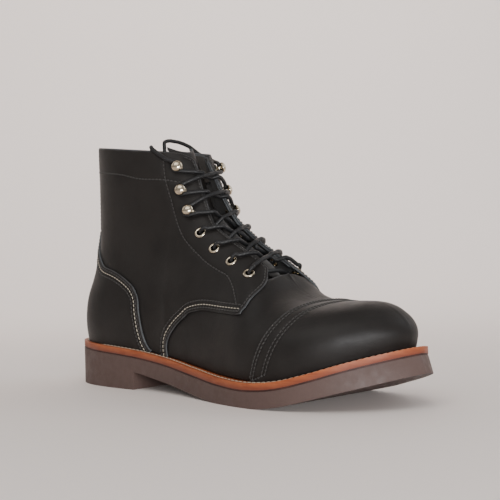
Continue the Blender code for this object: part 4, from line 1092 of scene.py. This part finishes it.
def build_heel():
    shares = close_to_ends(90, 75, near_end=False)
    patches = [edged_patch(side, COUNTER_EDGE, 110, shares, 0.5) for side in (LATERAL, MEDIAL)]
    leather("heel_counter_leather", patches, OVERLAY_TOP, LEATHER_THICKNESS, ["heel_counter"],
            open_edges=(0, 1, 1, 0), wavy=0.8, stitched=("seam_counter",))
    shares = np.linspace(0, 1, 34)
    patches = [edged_patch(side, STIFFENER_EDGE, 46, shares, 1.5) for side in (LATERAL, MEDIAL)]
    leather("counter_board", patches, HIDDEN_TOP, LEATHER_THICKNESS, ["counter_stiffener"],
            looks=[INNER, INNER, INNER], open_edges=(0, 1, 1, 0))
    t = column(BACKSTAY_FROM_T + (BACKSTAY_TO_T - BACKSTAY_FROM_T) * close_to_ends(60, 65))
    v = 1 - BACKSTAY_HALF_WIDTH / section_length(t) * row(1 - close_to_ends(20, 12, near_end=False))
    leather("backstay_leather", both_sides(t, v), OVERLAY_TOP, LEATHER_THICKNESS, ["backstay"],
            open_edges=(1, 1, 1, 0), wavy=0.6, stitched=("seam_backstay",))


def build_tongue():
    t = column(TONGUE_FROM_T + (TONGUE_TO_T - TONGUE_FROM_T) * close_to_ends(110, 140))
    half = curve_through(TONGUE_HALF_WIDTH, t) / section_length(t)
    share = close_to_ends(30, 24, near_start=False)
    made = leather("tongue_leather", both_sides(t, half * row(share)), TONGUE_LIFT, TONGUE_LEATHER,
                   ["tongue"], open_edges=(1, 1, 0, 1), body=None, wavy=1.5)
    world((205, 0, 68)).tolist()
    world((188, 0, 84)).tolist()
    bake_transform(made)


# ================================================================ sole
WELT_DARK_BAND = 1.6         # the darker band along the welt's lower edge
TREAD_PITCH, TREAD_DEPTH, TREAD_MARGIN = 9.0, 1.1, 9.0
ARCH_FROM_X, ARCH_TO_X = 70, 158    # no tread here
WELT_STITCH_INSET = 3.4
WELT_STITCH_PITCH = 4.2


def toe_share(x):
    """How much of the tread's flare a place along the boot takes."""
    return max(x - TOE_FLARE_FROM_X, 0) ** 2 / (BOOT_LENGTH - TOE_FLARE_FROM_X) ** 2


def layer_mesh(name, outline, bottom, top, look, replaces, hole=None, bevel=0.5, stations=130,
               crosswise=False, toe_flare=0.0):
    """A layer of the sole as a smooth slab, or a ring, with its edges softened.

    It is cut across at a number of stations, and lengthwise too for a patterned underside.
    """
    bm = bmesh.new()
    rim = [bm.verts.new((x, y, 0)) for x, y in outline]
    if hole is None:
        bm.faces.new(rim)
    else:
        inner = [bm.verts.new((x, y, 0)) for x, y in hole]
        for k in range(len(rim)):
            following = (k + 1) % len(rim)
            bm.faces.new((rim[k], rim[following], inner[following], inner[k]))
    low_x, high_x = min(x for x, _ in outline), max(x for x, _ in outline)
    breast = [BREAST_X - 0.2, BREAST_X + 0.3] if low_x < BREAST_X - 1 < high_x else []
    places = list(np.linspace(low_x, high_x, stations)[1:-1]) + breast
    for x in places:
        everything = bm.verts[:] + bm.edges[:] + bm.faces[:]
        bmesh.ops.bisect_plane(bm, geom=everything, plane_co=(x, 0, 0), plane_no=(1, 0, 0), dist=1e-4)
    for y in np.arange(-57.5, 58, 2.5) if crosswise else []:
        everything = bm.verts[:] + bm.edges[:] + bm.faces[:]
        bmesh.ops.bisect_plane(bm, geom=everything, plane_co=(0, y, 0), plane_no=(0, 1, 0), dist=1e-4)
    lower = set(bm.verts)
    bmesh.ops.extrude_face_region(bm, geom=bm.faces[:], use_keep_orig=True)
    for vert in bm.verts:
        level = bottom(vert.co.x, vert.co.y) if vert in lower else top(vert.co.x, vert.co.y)
        flare = toe_flare * toe_share(vert.co.x) if vert in lower else 0.0
        vert.co = Vector(world((vert.co.x + flare, vert.co.y, level)))
    bmesh.ops.recalc_face_normals(bm, faces=bm.faces[:])
    mesh = bpy.data.meshes.new(name)
    bm.to_mesh(mesh)
    bm.free()
    mesh.materials.append(look)
    made = in_scene(name, mesh)
    if bevel:
        soften = made.modifiers.new("edges", "BEVEL")
        soften.width = bevel * MM
        soften.segments = 3
        soften.limit_method = "ANGLE"
        soften.angle_limit = math.radians(50)
        apply_modifiers(made)
    made.data.shade_smooth()
    made.data.set_sharp_from_angle(angle=math.radians(50))
    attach(made, "root")
    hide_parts(*replaces)
    return made


def welt_top(x):
    return float(curve_through(WELT_TOP, x))


def under_welt(x):
    return welt_top(x) - WELT_THICKNESS


def ground_level(x):
    return 0.0 if x < BREAST_X else max(0.0, float(curve_through(ARCH_BOTTOM, x)))


def side_outline(inset=0.0, **limits):
    return [tuple(point) for point in sole_outline(inset, count=260, **limits)]


def tread(x, y):
    """Depth of the shallow lozenge grooves in the sole's underside, away from its edge and the arch."""
    side = half_width(SOLE_LATERAL, x) if y < 0 else half_width(SOLE_MEDIAL, x)
    inside = min(float(side) - abs(y), x - 3, BOOT_LENGTH - 3 - x)
    if inside < TREAD_MARGIN or ARCH_FROM_X < x < ARCH_TO_X:
        return 0.0
    first = abs(((x + 1.7 * y) / TREAD_PITCH / 2) % 1 - 0.5)
    second = abs(((x - 1.7 * y) / TREAD_PITCH / 2) % 1 - 0.5)
    return TREAD_DEPTH * (1.0 if min(first, second) < 0.09 else 0.0)


def build_sole():
    def sole_bottom(x, y):
        return ground_level(x) + tread(x, y)

    made = layer_mesh("rubber_sole", side_outline(), sole_bottom,
                      lambda x, y: under_welt(x) - MIDSOLE_THICKNESS - 0.05, RUBBER,
                      ["outsole_unit"], bevel=0.7, crosswise=True, toe_flare=TOE_FLARE)
    shade_edges(made)
    layer_mesh("midsole_line", side_outline(0.35), lambda x, y: under_welt(x) - MIDSOLE_THICKNESS,
               lambda x, y: under_welt(x) - 0.03, LINE_RUBBER, ["midsole"], bevel=0.0)
    welt = layer_mesh("welt_strip", side_outline(0.1), lambda x, y: under_welt(x), lambda x, y: welt_top(x),
                      WELT, ["welt"], hole=side_outline(WELT_WIDTH), bevel=0.8)
    heights = np.array([v.co.z / MM for v in welt.data.vertices])
    xs = np.array([v.co.x / MM for v in welt.data.vertices]) + CENTRE[0]
    above_bottom = heights - curve_through(WELT_TOP, xs) + WELT_THICKNESS
    add_attribute(welt, "low", np.clip(1 - above_bottom / WELT_DARK_BAND, 0, 1))
    insole_bottom = FILLER_THICKNESS + 0.3
    insole_top = insole_bottom + INSOLE_THICKNESS
    layer_mesh("insole_board", side_outline(INSOLE_INSET), lambda x, y: under_welt(x) + insole_bottom,
               lambda x, y: under_welt(x) + insole_top, INNER, ["insole"], bevel=0.8,
               stations=70)
    pad = side_outline(INSOLE_INSET + 1, end=HEEL_PAD_END)
    layer_mesh("heel_pad_cloth", pad, lambda x, y: under_welt(x) + insole_top + 0.05,
               lambda x, y: under_welt(x) + insole_top + 1.7, LINING, ["heel_pad"], bevel=0.5,
               stations=40)
    build_welt_stitches()


def shade_edges(made):
    """Marks the vertices beside sharp edges, where the rubber is scuffed paler."""
    bm = bmesh.new()
    bm.from_mesh(made.data)
    marked = np.zeros(len(bm.verts))
    for edge in bm.edges:
        along = edge.verts[1].co - edge.verts[0].co
        level = abs(along.z) < 0.5 * along.length
        if len(edge.link_faces) == 2 and level and edge.calc_face_angle(0.0) > 0.25:
            for vert in edge.verts:
                marked[vert.index] = 1.0
    bm.free()
    add_attribute(made, "edge", marked)


def build_welt_stitches():
    """The lockstitch along the welt's top, in a shallow line between the upper and the edge."""
    loop = sole_outline(WELT_STITCH_INSET, count=520)
    loop = np.column_stack([loop, curve_through(WELT_TOP, loop[:, 0])])
    loop = np.vstack([loop, loop[:1]])
    run = run_of(loop)
    count = int(run[-1] / WELT_STITCH_PITCH)
    paths, outs = [], []
    rise = np.array([-0.7, 0.0, 0.85, 1.0, 0.85, 0.0, -0.7])
    for start in np.arange(count) * run[-1] / count:
        at = (start + WELT_STITCH_PITCH * np.array([0.06, 0.1, 0.28, 0.5, 0.72, 0.9, 0.94])) % run[-1]
        middle = np.stack([np.interp(at, run, loop[:, c]) for c in range(3)], axis=1)
        middle[:, 2] += -0.1 + 0.22 * rise
        paths.append(middle)
        outs.append(np.tile([0.0, 0.0, 1.0], (7, 1)))
    radii = 0.42 * np.array([0.6, 0.85, 1, 1.05, 1, 0.85, 0.6])
    points, faces = tube_mesh(paths, outs, radii, sides=7)
    mesh_object("welt_stitches", points, faces, [WELT_THREAD])


# ================================================================ the lace's route
UNDER_FLAP = FACING_INNER - LACE_RADIUS - 1.7
OVER_FLAP = LACE_RADIUS + 0.6
OVER_EYELET = LACE_RADIUS + 1.5
ON_HOOK = 2.95
HOOK_WRAP = HOOK_STEM + LACE_RADIUS + 0.4
HOOK_WRAP_T = 0.019        # the same distance as a step of t
TUCK_LIFT = FACING_INNER - LACE_RADIUS - 0.8


def row_v(t):
    return float(seam_v(ROWS, t))


def flap_share(t):
    """Where the flap's edge lies, as a share of the way from the ridge to the lacing row."""
    return float(seam_v(FLAP_EDGE, t)) / row_v(t)


def across(w, t, lift):
    """A point on the lacing: w is -1 at the lateral row, 0 on the ridge and 1 at the medial row."""
    side = LATERAL if w < 0 else MEDIAL
    return on_upper(side, t, abs(w) * row_v(t), lift)


def strand(from_side, from_t, to_t, from_inside, on_top):
    """The control points of a strand across the throat, between its two lacing rows."""
    gap_start = flap_share(from_t + (to_t - from_t) * 0.25)
    gap_end = flap_share(from_t + (to_t - from_t) * 0.75)
    if from_inside:
        middle = -2.1 if on_top else -5.3
        plan = [(0.84, UNDER_FLAP), (gap_start + 0.1, UNDER_FLAP + 0.6), (gap_start - 0.06, UNDER_FLAP + 1.5),
                (0.2, middle), (0, middle), (-0.2, middle + 0.6)]
    else:
        middle = 1.2 if on_top else -2.4
        plan = [(0.84, OVER_FLAP + 0.4), (gap_start + 0.1, OVER_FLAP), (gap_start - 0.05, OVER_FLAP - 0.3),
                (0.2, middle), (0, middle), (-0.2, middle)]
    plan += [(-(gap_end - 0.07), OVER_FLAP - 0.4), (-(gap_end + 0.12), OVER_FLAP), (-0.8, OVER_FLAP + 0.5)]
    points = []
    for w, lift in plan:
        t = from_t + (to_t - from_t) * (1 - w) / 2
        points.append((across(w * from_side, t, lift), 1.0))
    return points


def through_eyelet(side, number, inwards):
    """Down the bore of an eyelet, or up it; outside, the lace lies towards the throat."""
    t, v = ROWS[number - 1]
    centre = on_upper(side, t, v)
    out = out_of(centre)
    ridge_way = on_upper(side, t, v * 0.8) - centre
    ridge_way = unit(ridge_way - out * np.dot(ridge_way, out))
    roll = FACING_INNER - INNER_CLEARANCE
    steps = [(4.7, OVER_EYELET, 1.0), (1.7, OVER_EYELET - 0.6, LACE_IN_BORE), (0.15, 0.6, LACE_IN_BORE),
             (0, -1.6, LACE_IN_BORE), (0.1, roll - 0.3, LACE_IN_BORE), (1.4, roll - 2.0, LACE_IN_BORE)]
    points = [(centre + ridge_way * d + out * lift, size) for d, lift, size in steps]
    return points if inwards else points[::-1]


def round_hook(side, number):
    """Half a turn round a hook's stem, from its low side, behind it, to its high side."""
    t, v = ROWS[number - 1]
    centre = on_upper(side, t, v)
    out = out_of(centre)
    higher = on_upper(side, t + 0.02, v) - centre
    higher = unit(higher - out * np.dot(higher, out))
    behind = np.cross(out, higher) * side
    behind *= np.sign(np.dot(behind, on_upper(side, t, v + 0.02) - centre))
    points = []
    for angle in np.radians([-100, -50, 0, 50, 100]):
        way = higher * np.sin(angle) + behind * np.cos(angle)
        points.append((centre + out * ON_HOOK + HOOK_WRAP * way, 1.0))
    return points


def lace_half(side):
    """From the bar between the lowest eyelets to the top hook, for the strand that starts on one side."""
    def t_of(number):
        return ROWS[number - 1][0]

    points = through_eyelet(side, 1, False)
    points += strand(side, t_of(1), t_of(2), False, side == LATERAL)
    for number in (2, 3, 4):
        side = -side
        points += through_eyelet(side, number, True)
        to_t = t_of(number + 1) - (HOOK_WRAP_T if number == EYELET_ROWS else 0)
        points += strand(side, t_of(number), to_t, True, side == LATERAL)
    for number in (5, 6):
        side = -side
        points += round_hook(side, number)
        from_t, to_t = t_of(number) + HOOK_WRAP_T, t_of(number + 1) - HOOK_WRAP_T
        points += strand(side, from_t, to_t, False, side == LATERAL)
    return points + round_hook(-side, len(ROWS))


def lace_tail(side):
    """From a top hook, over the top line and down inside the shaft; (t, v, lift) points."""
    if side == LATERAL:
        plan = [(0.958, 0.205, 2.9), (0.985, 0.24, 2.3), (1.012, 0.272, 1.6), (1.026, 0.285, -1.7),
                (1.01, 0.3, TUCK_LIFT), (0.97, 0.33, TUCK_LIFT), (0.9, 0.38, TUCK_LIFT - 1),
                (0.8, 0.4, TUCK_LIFT - 2), (0.72, 0.41, TUCK_LIFT - 3)]
    else:
        plan = [(0.958, 0.23, 2.9), (0.98, 0.33, 2.3), (1.0, 0.41, 2.3), (1.03, 0.47, 1.8),
                (1.056, 0.53, -1.6), (1.062, 0.575, -5.2), (1.042, 0.61, TUCK_LIFT - 2),
                (1.0, 0.62, TUCK_LIFT - 1), (0.9, 0.63, TUCK_LIFT - 1), (0.82, 0.62, TUCK_LIFT - 2),
                (0.76, 0.6, TUCK_LIFT - 3)]
    return [(on_upper(side, t, v, lift), 1.0) for t, v, lift in plan]


def smooth_route(controls):
    """A curve through control points, with points close enough for the bends."""
    points = np.array([p for p, _ in controls])
    sizes = np.array([s for _, s in controls])
    place = np.concatenate([[0], np.cumsum(np.linalg.norm(np.diff(points, axis=0), axis=1) ** 0.5)])
    ways = unit(np.diff(points, axis=0))
    turn = np.degrees(np.arccos(np.clip(np.sum(ways[1:] * ways[:-1], axis=1), -1, 1)))
    turn = np.concatenate([[0], turn, [0]])
    route, radii = [], []
    for k in range(len(points) - 1):
        length = np.linalg.norm(points[k + 1] - points[k])
        pieces = int(math.ceil(max(length / LACE_STEP, (turn[k] + turn[k + 1]) / 2 / LACE_TURN, 1)))
        at = place[k] + (place[k + 1] - place[k]) * np.arange(pieces) / pieces
        route.append(np.stack([curve_through(list(zip(place, points[:, c])), at) for c in range(3)], axis=1))
        radii.append(np.interp(at, place, sizes))
    route.append(points[-1:])
    radii.append(sizes[-1:])
    return np.vstack(route), np.concatenate(radii)


def lace_route():
    """The whole lace, from the tip of one tail to the tip of the other."""
    t, v = ROWS[0]
    bar = [(on_upper(LATERAL, t, v * w, UNDER_FLAP), 1.0) for w in (0.85, 0.5, 0.2)]
    bar += [(on_upper(MEDIAL, t, v * w, UNDER_FLAP), 1.0) for w in (0.2, 0.5, 0.85)]
    return smooth_route(lace_tail(LATERAL)[::-1] + lace_half(LATERAL)[::-1] + bar
                        + lace_half(MEDIAL) + lace_tail(MEDIAL))


# ================================================================ eyelets, hooks and lace
def turned_mesh(name, profile, look, side, t, v, steps=44):
    """A turned metal piece standing on the leather, from a rounded (radius, height) profile."""
    points = np.array(profile, float)
    closed = profile[0][0] > 0
    if closed:
        points = np.vstack([points, points[:1]])
    fine = [points[0]]
    for k in range(len(points) - 1):
        length = np.linalg.norm(points[k + 1] - points[k])
        for share in np.linspace(0, 1, max(2, int(length / 0.35)) + 1)[1:]:
            fine.append(points[k] * (1 - share) + points[k + 1] * share)
    fine = np.array(fine[:-1] if closed else fine)
    for _ in range(2):
        if closed:
            fine = (np.roll(fine, 1, axis=0) + 2 * fine + np.roll(fine, -1, axis=0)) / 4
        else:
            fine[1:-1] = (fine[:-2] + 2 * fine[1:-1] + fine[2:]) / 4
    angle = np.arange(steps) / steps * 2 * math.pi
    mesh = bpy.data.meshes.new(name)
    bm = bmesh.new()
    rings = []
    for r, z in fine:
        if r < 1e-6:
            rings.append([bm.verts.new((0, 0, z * MM))])
        else:
            rings.append([bm.verts.new((r * math.cos(a) * MM, r * math.sin(a) * MM, z * MM)) for a in angle])
    pairs = list(zip(rings, rings[1:])) + ([(rings[-1], rings[0])] if closed else [])
    for upper, lower in pairs:
        for k in range(steps):
            after = k + 1
            corners = [upper[k % len(upper)], lower[k % len(lower)],
                       lower[after % len(lower)], upper[after % len(upper)]]
            unique = list(dict.fromkeys(corners))
            if len(unique) > 2:
                bm.faces.new(unique)
    bmesh.ops.recalc_face_normals(bm, faces=bm.faces[:])
    bm.to_mesh(mesh)
    bm.free()
    mesh.transform(fastener_place(side, t, v))
    mesh.materials.append(look)
    mesh.shade_smooth()
    made = in_scene(name, mesh)
    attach(made, "root")
    return made


def build_fasteners():
    inner = -LAYER - FACING_THICKNESS - 0.05
    eyelet = [(2.35, 0.55), (2.75, 0.95), (3.4, 1.0), (4.05, 0.6), (4.25, 0.02), (3.1, 0.0), (3.05, inner),
              (4.0, inner), (3.9, inner - 0.5), (2.6, inner - 0.7)]
    hook = [(0, 7.5), (1.3, 7.4), (2.7, 6.85), (3.7, 6.0), (4.2, 5.1), (4.15, 4.55), (3.4, 4.2),
            (1.9, 4.15), (1.5, 3.6), (1.45, 1.3), (2.2, 0.85), (3.3, 0.65), (3.75, 0.35), (3.8, 0.02),
            (1.5, 0.0), (1.5, inner), (3.2, inner), (3.1, inner - 0.5), (0, inner - 0.6)]
    for side, word in SIDES:
        for number, (t, v) in enumerate(ROWS, start=1):
            is_eyelet = number <= EYELET_ROWS
            kind, metal, profile = ("eyelet", "ring", eyelet) if is_eyelet else ("hook", "stud", hook)
            made = turned_mesh(f"{kind}_{metal}_{word}_{number}", profile, NICKEL, side, t, v)
            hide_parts(f"{kind}_{word}_{number}")


BRAID_STEP, BRAID_PITCH, BRAID_RELIEF = 0.42, 2.6, 0.055


def braided(name, route, radii, radius, look):
    """A round braided cord along a route: its surface rises and falls with the strands that cross over it."""
    sides = 16
    run = run_of(route)
    at = np.arange(0, run[-1], BRAID_STEP)
    line = np.stack([np.interp(at, run, route[:, c]) for c in range(3)], axis=1)
    for _ in range(3):
        line[1:-1] = (line[:-2] + 2 * line[1:-1] + line[2:]) / 4
    size = np.interp(at, run, radii)
    ways = unit(np.gradient(line, axis=0))
    up = np.zeros_like(line)
    guide = np.array([0.3, 0.2, 0.9])
    for k, way in enumerate(ways):
        guide = guide - way * np.dot(guide, way)
        guide /= np.linalg.norm(guide)
        up[k] = guide
    across = np.cross(ways, up)
    angle = np.arange(sides) / sides * 2 * math.pi
    twist = at[:, None] / BRAID_PITCH * 2 * math.pi
    first = np.cos(4 * angle[None, :] + twist)
    second = np.cos(4 * angle[None, :] - twist)
    weave = np.maximum(first, second)
    grow = 1 + BRAID_RELIEF * (weave - 0.4)
    ring = across[:, None] * np.cos(angle)[None, :, None] + up[:, None] * np.sin(angle)[None, :, None]
    points = line[:, None] + ring * (radius * size[:, None] * grow)[..., None]
    index = np.arange(len(at) * sides).reshape(-1, sides)
    following = np.roll(index, -1, axis=1)
    quads = np.stack([index[:-1], following[:-1], following[1:], index[1:]], axis=-1).reshape(-1, 4)
    faces = quads.tolist() + [index[0, ::-1].tolist(), index[-1].tolist()]
    made = mesh_object(name, points.reshape(-1, 3), faces, [look])
    add_attribute(made, "hollow", np.clip(0.6 - weave, 0, 1).ravel())
    return made


def build_lace():
    route, radii = lace_route()
    made = braided("lace_braid", route, radii, LACE_RADIUS, CORD)
    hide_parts("lace")
    for word, tip, before in (("lateral", route[0], route[1]), ("medial", route[-1], route[-2])):
        way = unit(tip - before)
        shares = np.array([0, 0.02, 0.05, 0.3, 0.6, 0.85, 0.95, 1.0])
        path = tip + way * (shares * AGLET_LENGTH)[:, None]
        guide = unit(np.cross(way, [0.0, 1.0, 0.1]))
        radii = AGLET_RADIUS * np.array([0.85, 0.97, 1, 1, 1, 0.98, 0.9, 0.55])
        points, faces = tube_mesh([path], [np.tile(guide, (8, 1))], radii, sides=20)
        sleeve = mesh_object("aglet_sleeve_" + word, points, faces, [AGLET])
        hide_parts("aglet_" + word)


# ================================================================ stage, light and camera
FLOOR_COLOUR = (0.88, 0.81, 0.77)
FLOOR_REACH, FLOOR_FLAT, FLOOR_CURVE, WALL_HEIGHT = 6.0, 0.9, 0.55, 3.2    # metres
CAMERA_AZIMUTH, CAMERA_ELEVATION, CAMERA_ROLL = 43.51, 0.87, -1.36
CAMERA_DISTANCE = 854.0
CAMERA_AIM = (153.0, 0.0, 95.0)
CAMERA_SLIDE = (9.6, 7.2)
CAMERA_LENS, SENSOR = 85.1, 36.0


def stage():
    """A pale floor that curves up into a pale wall far behind."""
    looks = Nodes("studio_paper", roughness=0.75)
    looks.colour(looks.mix(looks.noise(1.2, 3), FLOOR_COLOUR, tuple(c * 1.04 for c in FLOOR_COLOUR)))
    depth = [(along, 0.0) for along in np.linspace(-FLOOR_REACH, FLOOR_FLAT, 30)]
    for angle in np.linspace(0, math.pi / 2, 14)[1:]:
        depth.append((FLOOR_FLAT + FLOOR_CURVE * math.sin(angle), FLOOR_CURVE * (1 - math.cos(angle))))
    depth.append((FLOOR_FLAT + FLOOR_CURVE, WALL_HEIGHT))
    azimuth = math.radians(CAMERA_AZIMUTH)
    away = np.array([-math.sin(azimuth), math.cos(azimuth), 0])
    sideways = np.array([math.cos(azimuth), math.sin(azimuth), 0])
    points = []
    for along, height in depth:
        for across_by in (-FLOOR_REACH, FLOOR_REACH):
            points.append(away * along + sideways * across_by + np.array([0, 0, height]))
    faces = [(2 * k, 2 * k + 1, 2 * k + 3, 2 * k + 2) for k in range(len(depth) - 1)]
    mesh = bpy.data.meshes.new("studio_floor")
    mesh.from_pydata([tuple(p) for p in points], [], faces)
    mesh.materials.append(looks.material)
    mesh.shade_smooth()
    in_scene("studio_floor", mesh)


def camera():
    a, e, roll = math.radians(CAMERA_AZIMUTH), math.radians(CAMERA_ELEVATION), math.radians(CAMERA_ROLL)
    back = np.array([math.sin(a) * math.cos(e), -math.cos(a) * math.cos(e), math.sin(e)])
    right = np.array([math.cos(a), math.sin(a), 0])
    up = np.cross(back, right)
    right, up = math.cos(roll) * right + math.sin(roll) * up, math.cos(roll) * up - math.sin(roll) * right
    place = np.array(CAMERA_AIM) + right * CAMERA_SLIDE[0] + up * CAMERA_SLIDE[1] + back * CAMERA_DISTANCE
    data = bpy.data.cameras.new("camera")
    data.lens = CAMERA_LENS
    data.sensor_width = SENSOR
    made = in_scene("camera", data)
    turn = Matrix([[right[i], up[i], back[i]] for i in range(3)]).to_4x4()
    made.matrix_world = Matrix.Translation(Vector(world(place))) @ turn
    bpy.context.scene.camera = made


def area_light(name, azimuth, elevation, distance, size, power, colour, target=(0, 0, 0.08)):
    """A soft lamp on a sphere round the boot; azimuth is where it stands, as for the camera."""
    a, e = math.radians(azimuth), math.radians(elevation)
    way = Vector((math.sin(a) * math.cos(e), -math.cos(a) * math.cos(e), math.sin(e)))
    data = bpy.data.lights.new(name, "AREA")
    data.shape = "RECTANGLE"
    data.size, data.size_y = size
    data.energy = power
    data.color = colour
    made = in_scene(name, data)
    made.location = Vector(target) + way * distance
    made.rotation_euler = way.to_track_quat("Z", "Y").to_euler()
    made.visible_camera = False


def lights():
    """An even pale surround, and five lamps: azimuth, elevation, distance, size, power and colour."""
    studio = bpy.data.worlds.new("studio")
    studio.use_nodes = True
    surround = studio.node_tree.nodes["Background"]
    surround.inputs["Color"].default_value = (0.80, 0.77, 0.75, 1)
    surround.inputs["Strength"].default_value = 0.46
    bpy.context.scene.world = studio
    area_light("key", 60, 3.5, 1.4, (0.8, 0.22), 19, (0.97, 0.98, 1.0))
    area_light("broad", 20, 55, 1.7, (1.6, 1.3), 11, (1.0, 0.97, 0.94))
    area_light("rim", 150, 30, 1.6, (0.9, 1.2), 5, (0.90, 0.95, 1.0))
    area_light("fill", -80, 30, 1.8, (1.6, 1.2), 3, (1.0, 0.97, 0.94))
    area_light("backdrop", 43.5, 40, 0.8, (1.6, 0.5), 9, (1.0, 0.95, 0.93), target=(-0.9, 0.95, 0.5))


# ================================================================ the finished boot
camera()
lights()
stage()
SEAMS = find_seams()
STITCH_LINES.update({name: [spaced(line, 0.8) for line in lines] for name, lines, _, _ in SEAMS})
build_sole()
build_forefoot()
build_quarters()
build_heel()
build_tongue()
for seam_name, seam_lines, seam_thread, seam_lift in SEAMS:
    stitch_row(seam_name, seam_lines, seam_thread, seam_lift)
build_fasteners()
build_lace()
for node, look in (("cork_filler", CORK), ("shank", STEEL)):
    frame["nodes"][node].data.materials.clear()
    frame["nodes"][node].data.materials.append(look)
